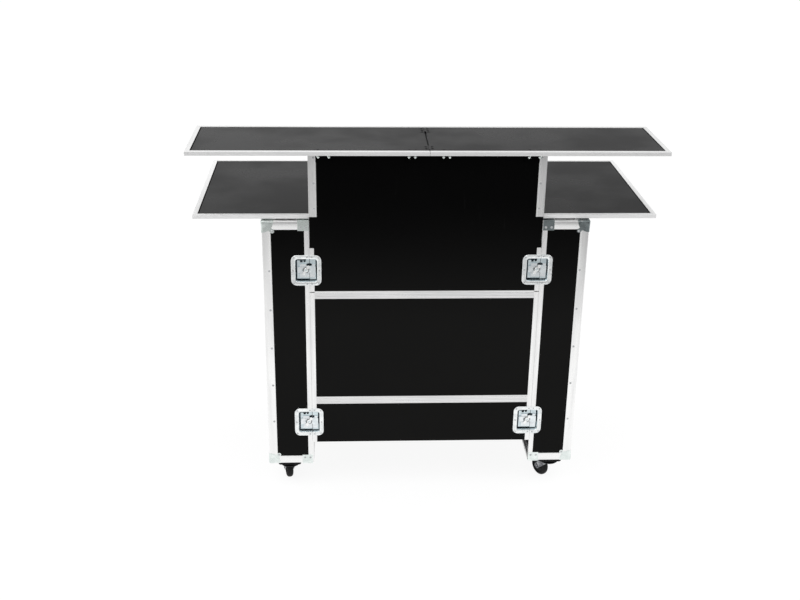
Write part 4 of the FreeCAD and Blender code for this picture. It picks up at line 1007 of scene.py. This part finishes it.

# Counter and worktop boards: film-faced plywood, polished by use, so it mirrors the pale room.
# A sunk, matt near-black border runs along the edging's lips as painted shade; each half is chamfered at the
# fold.
TOP_FILM = (0.0075, 0.0075, 0.0080, 1.0)
TOP_DULL = (0.0110, 0.0110, 0.0115, 1.0)
TOP_SCUFF = (0.040, 0.040, 0.041, 1.0)
TOP_SMOOTH = 0.26
TOP_ROUGH = 0.38
TOP_RELIEF = 0.00004
top_laminate, tree, shader = new_material("top_laminate", TOP_ROUGH, specular=0.045)
film = use_group(tree, film_grain, Grain=FILM_GRAIN, Scuffs=0.30)
worn = mix_colours(tree, film["Scuff"], mix_colours(tree, film["Dull"], TOP_FILM, TOP_DULL), TOP_SCUFF)
tree.links.new(worn, shader.inputs["Base Color"])
tree.links.new(ramp(tree, film["Dull"], 0.0, 1.0, TOP_SMOOTH, TOP_ROUGH), shader.inputs["Roughness"])
bump(tree, shader, film["Relief"], TOP_RELIEF)
FILM_BELOW = 0.0003
FOLD_CHAMFER = 0.0030
FOLD_HALF_GAP = 0.0005
BORDER = 0.0045
BORDER_BELOW = 0.0010
# The border's near-black matt colour is painted shade along the lips.
painted_lip_shade, tree, shader = new_material("painted_lip_shade", 0.8, specular=0.02)
shader.inputs["Base Color"].default_value = grey(0.004)


def slab_edging(slab, side):
    """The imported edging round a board."""
    return f"counter_{side}_edging" if slab == "counter" else "worktop_edging"


LIP = 0.015
for slab in ("counter", "worktop"):
    for side, sign in SIDES.items():
        low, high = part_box(f"{slab}_{side}_board")
        edge_low, edge_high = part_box(slab_edging(slab, side))
        top = edge_high.z - FILM_BELOW
        end = max(abs(edge_low.x), abs(edge_high.x)) - LIP
        front, back = edge_low.y + LIP, edge_high.y - LIP
        body = f"counter_{side}" if slab == "counter" else "worktop"
        film = bmesh.new()
        section = [(FOLD_HALF_GAP, low.z), (end - BORDER, low.z), (end - BORDER, top),
                   (FOLD_HALF_GAP + FOLD_CHAMFER, top), (FOLD_HALF_GAP, top - FOLD_CHAMFER)]
        extrude(film, section, axis_place(Y, (X, 0.0, sign), (Z, 0.0, 1)), front + BORDER, back - BORDER)
        add_piece(f"{slab}_{side}_film", film, body, top_laminate, [f"{slab}_{side}_board"])
        lip_shade_band = bmesh.new()
        rings = []
        shade_band_top = top - BORDER_BELOW
        for inset, level in ((0.0, shade_band_top), (BORDER, shade_band_top), (BORDER, low.z), (0.0, low.z)):
            corners = ((FOLD_HALF_GAP, front + inset), (end - inset, front + inset),
                       (end - inset, back - inset), (FOLD_HALF_GAP, back - inset))
            rings.append([Vector((sign * across, along, level)) for across, along in corners])
        rows = [[lip_shade_band.verts.new(point) for point in ring] for ring in rings]
        for first, second in zip(rows, rows[1:] + rows[:1]):
            for number in range(len(corners) - 1):
                lip_shade_band.faces.new((first[number], first[number + 1], second[number + 1], second[number]))
        for number in (0, len(corners) - 1):
            lip_shade_band.faces.new([row[number] for row in rows])
        add_piece(f"{slab}_{side}_seal", lip_shade_band, body, painted_lip_shade)


# Counter and worktop edging: drawn aluminium channel round three sides of each half, mitred at the corners.
# The lips stand a little over the film, and two shallow grooves run along the outer face.
# Both are anodised to a matt skin; the worktop's is a paler copy, painted light against the counter's shade.
edging_aluminium = aluminium("edging_aluminium", grey(0.87), grey(0.78), metallic=0.25)
# The worktop's edging is a paler, lit copy of the counter's: painted light.
lit_worktop_edging = aluminium("lit_worktop_edging", grey(0.97), grey(0.92), metallic=0.10)
LIP_WALL = 0.0012
LIP_ROUND = 0.0014
LIP_STEPS = 3
GROOVE = 0.0004
GROOVE_SHARES = (0.30, 0.62)
MITRE_GAP = 0.00015


def edging_section(height):
    """Section as height above the underside and distance in from the outer face."""
    grooves = []
    for share in GROOVE_SHARES:
        low = share * height
        grooves += [(low, 0.0), (low + GROOVE, GROOVE), (low + 3 * GROOVE, GROOVE), (low + 4 * GROOVE, 0.0)]
    lower = [(u, v) for v, u in arc((LIP_ROUND, LIP_ROUND), LIP_ROUND, 270.0, 180.0, LIP_STEPS)]
    upper = [(height - u, v) for u, v in reversed(lower)]
    inner = [(height, LIP), (height - LIP_WALL, LIP), (height - LIP_WALL, LIP_WALL), (LIP_WALL, LIP_WALL),
             (LIP_WALL, LIP), (0.0, LIP)]
    return lower + grooves + upper + inner


def edge_half(mesh, sign, low, high):
    """Three mitred lengths of edging round one half of a board."""
    section = edging_section(high.z - low.z)
    level = (Z, low.z, 1)
    end = max(abs(low.x), abs(high.x))
    for face in ((Y, low.y, 1), (Y, high.y, -1)):
        extrude(mesh, section, axis_place(X, level, face), sign * FOLD_HALF_GAP, sign * (end - MITRE_GAP),
                end_slope=-sign)
    extrude(mesh, section, axis_place(Y, level, (X, sign * end, -sign)), low.y + MITRE_GAP,
            high.y - MITRE_GAP, start_slope=1.0, end_slope=-1.0)


for side, sign in SIDES.items():
    low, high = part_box(f"counter_{side}_edging")
    mesh = bmesh.new()
    edge_half(mesh, sign, low, high)
    add_piece(f"counter_{side}_drawn_edging", mesh, f"counter_{side}", edging_aluminium,
              [f"counter_{side}_edging"])
low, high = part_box("worktop_edging")
mesh = bmesh.new()
for sign in SIDES.values():
    edge_half(mesh, sign, low, high)
add_piece("worktop_drawn_edging", mesh, "worktop", lit_worktop_edging, ["worktop_edging"])


# Fold hinges: steel leaves let in flush and faced like the boards, so that only their screws show.
# Three countersunk screws in dull black paint hold each leaf.
bracket_paint = plated("bracket_paint", grey(0.0010), grey(0.0016), grey(0.0040), 0.60, 0.80,
                       metallic=0.0, relief=0.0001, specular=0.03)
dress(["counter_left_hinge_leaves", "counter_right_hinge_leaves", "worktop_hinges"], top_laminate)
SCREW_RADIUS = 0.0042
SCREW_SINK = 0.0013
SCREW_RISE = 0.0002
SCREW_SPREAD = 0.020
SCREW_FROM_FOLD = 0.010
ROW_TURN = 0.7
SIDE_TURN = 0.4
SLOT_TAPER_SHARE = 0.6
SLOT_HALF = 0.00035
SLOT_REACH = 0.0017
LEAF_LENGTH = 0.050


def screw(mesh, centre, turn):
    """A countersunk head with a cross recess, its face just over the leaf."""
    face = centre.z + SCREW_RISE
    outline = []
    for quarter in range(4):
        base = math.radians(90.0 * quarter) + turn
        for along, across in ((SLOT_REACH, -SLOT_HALF), (SLOT_REACH, SLOT_HALF), (SLOT_HALF, SLOT_HALF)):
            outline.append((along * math.cos(base) - across * math.sin(base),
                            along * math.sin(base) + across * math.cos(base)))
    rim = [(SCREW_RADIUS * x / math.hypot(x, y), SCREW_RADIUS * y / math.hypot(x, y)) for x, y in outline]
    sunk = centre.z - SCREW_SINK
    levels = ((rim, 1.0, sunk), (rim, 1.0, face), (outline, 1.0, face), (outline, SLOT_TAPER_SHARE, sunk))
    capped(mesh, [[Vector((centre.x + share * x, centre.y + share * y, level)) for x, y in ring]
                  for ring, share, level in levels])


def hinge_rows(node):
    """Y of the two hinges in a node, from its ends."""
    low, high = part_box(node)
    return low.y + LEAF_LENGTH / 2, high.y - LEAF_LENGTH / 2


for body, node, sides in (("counter_left", "counter_left_hinge_leaves", (-1,)),
                          ("counter_right", "counter_right_hinge_leaves", (1,)),
                          ("worktop", "worktop_hinges", (-1, 1))):
    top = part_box(f"{body}_edging")[1].z
    mesh = bmesh.new()
    for sign in sides:
        for row in hinge_rows(node):
            for step in (-1, 0, 1):
                centre = Vector((sign * SCREW_FROM_FOLD, row + step * SCREW_SPREAD, top))
                screw(mesh, centre, ROW_TURN * step + SIDE_TURN * sign)
    add_piece(f"{body}_hinge_screws", mesh, body, bracket_paint)

# Brackets and bolts: folded black plates under the counter that stand over the panel, front and back.
# Low black bolt heads show in the film, with bright cap nuts below.
black_steel = plated("black_steel", (0.0045, 0.0045, 0.0048, 1.0), (0.0075, 0.0075, 0.0078, 1.0),
                     (0.03, 0.03, 0.031, 1.0), 0.4, 0.55, metallic=0.0, specular=0.15)
UP = (0.0, 0.0, 1.0)
BRACKET_BREAK = 0.0006
BOLT_PLACES = (0.045, 0.065, 0.318, 0.352)
HEAD_RADIUS = 0.0045
HEAD_HEIGHT = 0.0016
HEAD_SOCKET = 0.0016
SOCKET_FLOOR = 0.0012
HEAD_STEPS = 24
SHANK_RADIUS = 0.0024
THREAD_END = 0.0070
HEX_SIDES = 6
NUT_RADIUS = 0.0056
NUT_HEIGHT = 0.0070
NUT_TOP = 0.0001
COLLAR_RADIUS = 0.0052
NUT_COLLAR = 0.0085
DOME_RADIUS = 0.0044
DOME_SHARE = 0.8
NUT_DOME = 0.0130
DOME_STEPS = 20


def cap_nut(mesh, centre, plate):
    """A hexagon under a bracket's plate, with a collar and a domed cap below it."""
    low = plate - NUT_HEIGHT
    turned(mesh, ((NUT_RADIUS - EDGE_BREAK, plate - NUT_TOP), (NUT_RADIUS, plate - EDGE_BREAK),
                  (NUT_RADIUS, low), (NUT_RADIUS - EDGE_BREAK, low - EDGE_BREAK)), centre, UP, HEX_SIDES)
    turned(mesh, ((COLLAR_RADIUS, low), (COLLAR_RADIUS, plate - NUT_COLLAR),
                  (DOME_RADIUS, plate - DOME_SHARE * NUT_DOME), (SHANK_RADIUS, plate - NUT_DOME)),
           centre, UP, DOME_STEPS)


for side, sign in SIDES.items():
    body = f"counter_{side}"
    dress([f"{body}_brackets"], bracket_paint)
    soften([f"{body}_brackets"], BRACKET_BREAK)
    low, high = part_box(f"{body}_bolts")
    row = (low.y + high.y) / 2
    heads = bmesh.new()
    nuts = bmesh.new()
    for place in BOLT_PLACES:
        centre = (sign * place, row, 0.0)
        turned(heads, ((HEAD_RADIUS, high.z - HEAD_HEIGHT), (HEAD_RADIUS, high.z - EDGE_BREAK),
                       (HEAD_RADIUS - EDGE_BREAK, high.z), (HEAD_SOCKET, high.z),
                       (SOCKET_FLOOR, high.z - 2 * EDGE_BREAK)), centre, UP, HEAD_STEPS)
        cap_nut(nuts, centre, low.z + THREAD_END)
    add_piece(f"{body}_bolt_heads", heads, body, black_steel)
    add_piece(f"{body}_lock_nuts", nuts, body, zinc_plate, [f"{body}_bolts"])

# Casters: black top plates with a swivel race, black pressed hoods and black rubber tyres on moulded wheels.
# The forks' cheeks have rubbed to bare steel; the tread is round, and the web is sunk between hub and rim.
joints = {joint["name"]: joint for joint in frame["joints"]}
wheel_rubber = plated("wheel_rubber", grey(0.008), grey(0.014), (0.030, 0.029, 0.028, 1.0), 0.55, 0.75,
                      metallic=0.0, relief=0.00015, specular=0.2)
rubbed_steel = plated("rubbed_steel", (0.42, 0.43, 0.44, 1.0), (0.10, 0.10, 0.11, 1.0),
                      (0.70, 0.71, 0.72, 1.0), 0.22, 0.38)
PLATE_THICK = 0.009
PLATE_UNDER = FLOOR - PLATE_THICK
PLATE_HALF = 0.040
PLATE_ROUND = 0.008
PLATE_STEPS = 5
RACE_HEIGHT = 0.0077
RACE_LIP = 0.002
RACE_TOP_RADIUS = 0.0285
RACE_LOW_RADIUS = 0.0255
KING_PIN = 0.0058
KING_NUT = 0.0088
KING_NUT_TOP = 0.0128
KING_NUT_END = 0.0174
PLATE_BOLT = 0.029
PLATE_BOLT_RADIUS = 0.0058
PLATE_BOLT_HEIGHT = 0.0029


def swivel_plate(mesh, swivel):
    """A top plate with its race, its king pin and nut, and four bolt heads."""
    rings = []
    for inset, level in ((0.0, FLOOR), (0.0, PLATE_UNDER + 2 * EDGE_BREAK), (2 * EDGE_BREAK, PLATE_UNDER)):
        half = PLATE_HALF - inset
        ring = rounded_outline(half, half, PLATE_ROUND - inset, PLATE_STEPS)
        rings.append([Vector((swivel.x + right, swivel.y + far, level)) for right, far in ring])
    capped(mesh, rings)
    foot = (swivel.x, swivel.y, 0.0)
    race_under = PLATE_UNDER - RACE_HEIGHT
    nut_top = PLATE_UNDER - KING_NUT_TOP
    turned(mesh, ((RACE_TOP_RADIUS, PLATE_UNDER), (RACE_TOP_RADIUS, PLATE_UNDER - RACE_LIP),
                  (RACE_LOW_RADIUS, race_under)), foot, UP)
    turned(mesh, ((KING_PIN, race_under), (KING_PIN, nut_top)), foot, UP)
    turned(mesh, ((KING_NUT, nut_top), (KING_NUT, PLATE_UNDER - KING_NUT_END)), foot, UP, HEX_SIDES)
    for right in (-1, 1):
        for far in (-1, 1):
            bolt = (swivel.x + right * PLATE_BOLT, swivel.y + far * PLATE_BOLT, 0.0)
            turned(mesh, ((PLATE_BOLT_RADIUS, PLATE_UNDER),
                          (PLATE_BOLT_RADIUS, PLATE_UNDER - PLATE_BOLT_HEIGHT)), bolt, UP, HEX_SIDES)


HOOD_DROP = 0.0084
HOOD_TOP = PLATE_UNDER - HOOD_DROP
HOOD_LOW = 0.0735
HOOD_WALL = 0.0024
HOOD_RADIUS = 0.0365
HOOD_LIP = 0.001
HOOD_ROUND = 0.0012
HOOD_BORE = 0.0062
HOOD_HALF = 0.0166
HOOD_NEAR = -0.0195
HOOD_FAR = 0.0225
HOOD_STEPS = 48
HOOD_SQUARE = 0.4
SHOULDER_DROP = 0.005
SHOULDER_SHARE = 0.12


def fork_place(swivel, across_way, along_way):
    """Maps places across, along and up a fork, from the foot of its swivel."""
    foot = Vector((swivel.x, swivel.y, 0.0))

    def place(across, along, up):
        return foot + across_way * across + along_way * along + Vector((0.0, 0.0, up))
    return place


def hood_ring(place, radius, inset, level, share):
    """A ring of the hood between a round top and a squared bottom."""
    ring = []
    for step in range(HOOD_STEPS):
        angle = 2 * math.pi * step / HOOD_STEPS
        cosine, sine = math.cos(angle), math.sin(angle)
        across = (HOOD_HALF - inset) * math.copysign(abs(cosine) ** HOOD_SQUARE, cosine)
        middle, half = (HOOD_NEAR + HOOD_FAR) / 2, (HOOD_FAR - HOOD_NEAR) / 2 - inset
        along = middle + half * math.copysign(abs(sine) ** HOOD_SQUARE, sine)
        ring.append(place(radius * cosine + (across - radius * cosine) * share,
                          radius * sine + (along - radius * sine) * share, level))
    return ring


def fork_hood(place):
    """The pressed hood of a fork, round under the race and square over the wheel."""
    mesh = bmesh.new()
    under = HOOD_TOP - HOOD_WALL - HOOD_ROUND
    levels = ((HOOD_BORE, 0.0, HOOD_TOP, 0.0), (HOOD_RADIUS - HOOD_LIP, 0.0, HOOD_TOP, 0.0),
              (HOOD_RADIUS, 0.0, HOOD_TOP - HOOD_ROUND, 0.0),
              (HOOD_RADIUS, 0.0, HOOD_TOP - SHOULDER_DROP, SHOULDER_SHARE),
              (HOOD_RADIUS, 0.0, HOOD_LOW, 1.0), (HOOD_RADIUS, HOOD_WALL, HOOD_LOW, 1.0),
              (HOOD_RADIUS - HOOD_WALL, HOOD_WALL, under, 0.0), (HOOD_BORE, 0.0, under, 0.0))
    rings = [hood_ring(place, *level) for level in levels]
    loft(mesh, rings + rings[:1])
    bmesh.ops.remove_doubles(mesh, verts=mesh.verts, dist=WELD_REACH)
    return mesh


CHEEK_NEAR = 0.0143
CHEEK_FAR = 0.0166
CHEEK_TOP = 0.0790
CHEEK_INSET = 0.002
AXLE_EYE = 0.0105
EYE_START = 35.0
EYE_END = -145.0
EYE_STEPS = 12
AXLE_RADIUS = 0.0039
AXLE_HEAD = 0.0062
AXLE_END = 0.0190


def mirrored_profile(half):
    """A turned profile from the half of it on one side."""
    return half + [(radius, -along) for radius, along in reversed(half)]


def fork_cheeks(place, trail, axle, across_way):
    """Two flat cheeks from the hood down to the axle, and the axle with its heads."""
    mesh = bmesh.new()
    eye = arc((trail, axle.z), AXLE_EYE, EYE_START, EYE_END, EYE_STEPS)
    cheek = [(HOOD_NEAR + CHEEK_INSET, CHEEK_TOP), (HOOD_FAR - CHEEK_INSET, CHEEK_TOP)] + eye
    for way in (-1, 1):
        capped(mesh, [[place(way * out, along, up) for along, up in cheek]
                      for out in (CHEEK_NEAR, CHEEK_FAR)])
    half = [(AXLE_HEAD - EDGE_BREAK, -AXLE_END), (AXLE_HEAD, EDGE_BREAK - AXLE_END), (AXLE_HEAD, -CHEEK_FAR),
            (AXLE_RADIUS, -CHEEK_FAR)]
    turned(mesh, mirrored_profile(half), axle, across_way)
    return mesh


TYRE_HALF = 0.0120
HUB_HALF = 0.0130
HUB_RADIUS = 0.013
BORE = 0.0040
WHEEL_RIM = 0.0295
WEB_HALF = 0.0080
TREAD_ROUND = 0.0105
TREAD_STEPS = 8
WHEEL_STEPS = 56


def wheel(axle, across_way):
    """A wheel with its hub, sunk web and round tyre, standing on the ground."""
    mesh = bmesh.new()
    shoulder = arc((axle.z - TREAD_ROUND, TYRE_HALF - TREAD_ROUND), TREAD_ROUND, 90.0, 0.0, TREAD_STEPS)
    half = [(BORE, HUB_HALF), (HUB_RADIUS - EDGE_BREAK, HUB_HALF), (HUB_RADIUS, HUB_HALF - EDGE_BREAK),
            (HUB_RADIUS + EDGE_BREAK, WEB_HALF), (WHEEL_RIM - 5 * EDGE_BREAK, WEB_HALF),
            (WHEEL_RIM - 2 * EDGE_BREAK, TYRE_HALF - EDGE_BREAK)] + shoulder
    lathe(mesh, mirrored_profile(half) + half[:1], axle, across_way, WHEEL_STEPS)
    bmesh.ops.remove_doubles(mesh, verts=mesh.verts, dist=WELD_REACH)
    return mesh


plates = bmesh.new()
for caster in ("front_left", "front_right", "rear_left", "rear_right"):
    swivel = Vector(joints[f"{caster}_swivel"]["pos_m"])
    roll = joints[f"{caster}_roll"]
    axle = Vector(roll["pos_m"])
    across_way = Vector(roll["axis"])
    along_way = Vector((-across_way.y, across_way.x, 0.0))
    trail = (axle - swivel).dot(along_way)
    place = fork_place(swivel, across_way, along_way)
    swivel_plate(plates, swivel)
    add_piece(f"{caster}_pressed_fork", fork_hood(place), f"{caster}_caster", black_steel,
              [f"{caster}_fork"])
    add_piece(f"{caster}_fork_cheeks", fork_cheeks(place, trail, axle, across_way), f"{caster}_caster",
              rubbed_steel)
    add_piece(f"{caster}_tyre", wheel(axle, across_way), f"{caster}_wheel", wheel_rubber,
              [f"{caster}_wheel"])
add_piece("swivel_plates", plates, "stand", black_steel, ["caster_plates"])

# Studio: a sheet of white paper that takes the bar's shadow, a white room and two large soft lamps.
# The lamps are weak, so each colour comes out as it is written.
# In reflections only, the paper is painted darker ahead of the bar and to its right: painted shade on metal
# and film.
# To diffuse rays the paper glows, as painted bounce light.
FLOOR_SIDE = 60.0
mesh = bmesh.new()
bmesh.ops.create_grid(mesh, x_segments=1, y_segments=1, size=FLOOR_SIDE / 2)
data = bpy.data.meshes.new("studio_floor")
mesh.to_mesh(data)
mesh.free()
studio_floor = bpy.data.objects.new("studio_floor", data)
bpy.context.scene.collection.objects.link(studio_floor)
studio_floor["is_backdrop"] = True
paper, tree, shader = new_material("white_paper", 1.0, specular=0.0)
shader.inputs["Base Color"].default_value = grey(0.16)
PAPER_GLOW = 0.89
PAPER_BOUNCE = 0.50
# Tones and shade below are seen only by glossy rays: painted shade in the metal's reflections.
FLOOR_TONES = ((0.0, 0.90), (1.4, 0.93), (2.6, 0.40), (3.3, 0.30), (4.2, 0.13), (6.0, 0.10))
SHADE_SIDE = (0.85, 1.15)
SHADE_AHEAD = (1.5, 2.2)
SHADE = 0.6
rays = tree.nodes.new("ShaderNodeLightPath").outputs
where = place_parts(tree)
ahead = math_node(tree, "SUBTRACT", FRONT, where["Y"])
tones = tone_ramp(tree, ahead, [(distance, grey(tone)) for distance, tone in FLOOR_TONES])
shade = math_node(tree, "MULTIPLY", ramp(tree, where["X"], *SHADE_SIDE, 0.0, SHADE),
                  mask(tree, ahead, *SHADE_AHEAD))
toned = math_node(tree, "MULTIPLY", tones, math_node(tree, "SUBTRACT", 1.0, shade))
mirrored = math_node(tree, "MULTIPLY", rays["Is Glossy Ray"], toned)
seen = math_node(tree, "MAXIMUM", math_node(tree, "MULTIPLY", rays["Is Camera Ray"], PAPER_GLOW), mirrored)
seen = math_node(tree, "MAXIMUM", seen, math_node(tree, "MULTIPLY", rays["Is Diffuse Ray"], PAPER_BOUNCE))
glow = add_node(tree, "ShaderNodeEmission", None, Strength=seen)
both = add_node(tree, "ShaderNodeAddShader", None, i0=shader.outputs[0], i1=glow.outputs[0])
tree.links.new(both.outputs[0], tree.nodes["Material Output"].inputs["Surface"])
data.materials.append(paper)

room = bpy.data.worlds.new("white_room")
room.use_nodes = True
bpy.context.scene.world = room
tree = room.node_tree
ROOM_LIGHT = 0.85
# In reflections the room is painted dimmer towards the right: painted shade on the metal.
ROOM_RIGHT = 0.80
ROOM_TURN = (-0.05, 0.22)
rays = tree.nodes.new("ShaderNodeLightPath").outputs
seen = math_node(tree, "MAXIMUM", rays["Is Camera Ray"], rays["Is Transmission Ray"])
way = add_node(tree, "ShaderNodeSeparateXYZ", None,
               Vector=tree.nodes.new("ShaderNodeTexCoord").outputs["Generated"])
mirrored = math_node(tree, "MULTIPLY", rays["Is Glossy Ray"],
                     ramp(tree, way.outputs["X"], *ROOM_TURN, 1.0, ROOM_RIGHT))
plain = ramp(tree, rays["Is Glossy Ray"], 0.0, 1.0, ROOM_LIGHT, 0.0)
strength = math_node(tree, "MAXIMUM", seen, math_node(tree, "MAXIMUM", mirrored, plain))
tree.links.new(strength, tree.nodes["Background"].inputs["Strength"])
tree.nodes["Background"].inputs["Color"].default_value = grey(1.0)

LAMPS = {"key_lamp": ((-2.2, -2.0, 4.2), 2.4, 26.0), "fill_lamp": ((2.6, -1.0, 3.6), 2.0, 12.0)}
LAMP_AIM = Vector((0.0, 0.0, 0.8))
for name, (place, side_length, watts) in LAMPS.items():
    lamp = bpy.data.lights.new(name, "AREA")
    lamp.size = side_length
    lamp.energy = watts
    holder = bpy.data.objects.new(name, lamp)
    holder.location = place
    holder.rotation_euler = (LAMP_AIM - Vector(place)).to_track_quat("-Z", "Y").to_euler()
    bpy.context.scene.collection.objects.link(holder)

# Camera: where the photograph was taken from, a little left of the middle and looking down.
# The focal length and the angles come from fitting the case's edges in the photograph.
CAMERA_PLACE = (-0.2617, FRONT - 3.4950, FLOOR + 2.1154)
CAMERA_YAW = math.radians(2.91)
CAMERA_PITCH = math.radians(22.95)
CAMERA_ROLL = math.radians(-0.86)
SENSOR = 36.0
LENS = 50.495
camera = bpy.data.cameras.new("camera")
camera.sensor_width = SENSOR
camera.lens = LENS
camera_object = bpy.data.objects.new("camera", camera)
bpy.context.scene.collection.objects.link(camera_object)
level_reach = math.cos(CAMERA_PITCH)
forward = Vector((math.sin(CAMERA_YAW) * level_reach, math.cos(CAMERA_YAW) * level_reach,
                  -math.sin(CAMERA_PITCH)))
level = Vector((math.cos(CAMERA_YAW), -math.sin(CAMERA_YAW), 0.0))
down = forward.cross(level)
right = level * math.cos(CAMERA_ROLL) + down * math.sin(CAMERA_ROLL)
below = down * math.cos(CAMERA_ROLL) - level * math.sin(CAMERA_ROLL)
turn = Matrix((right, -below, -forward)).transposed()
camera_object.matrix_world = Matrix.Translation(CAMERA_PLACE) @ turn.to_4x4()
bpy.context.scene.camera = camera_object
bpy.context.scene.view_settings.view_transform = "Standard"

low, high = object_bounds()
{"cad": [list(cad_low), list(cad_high)], "visual": [list(low), list(high)]}
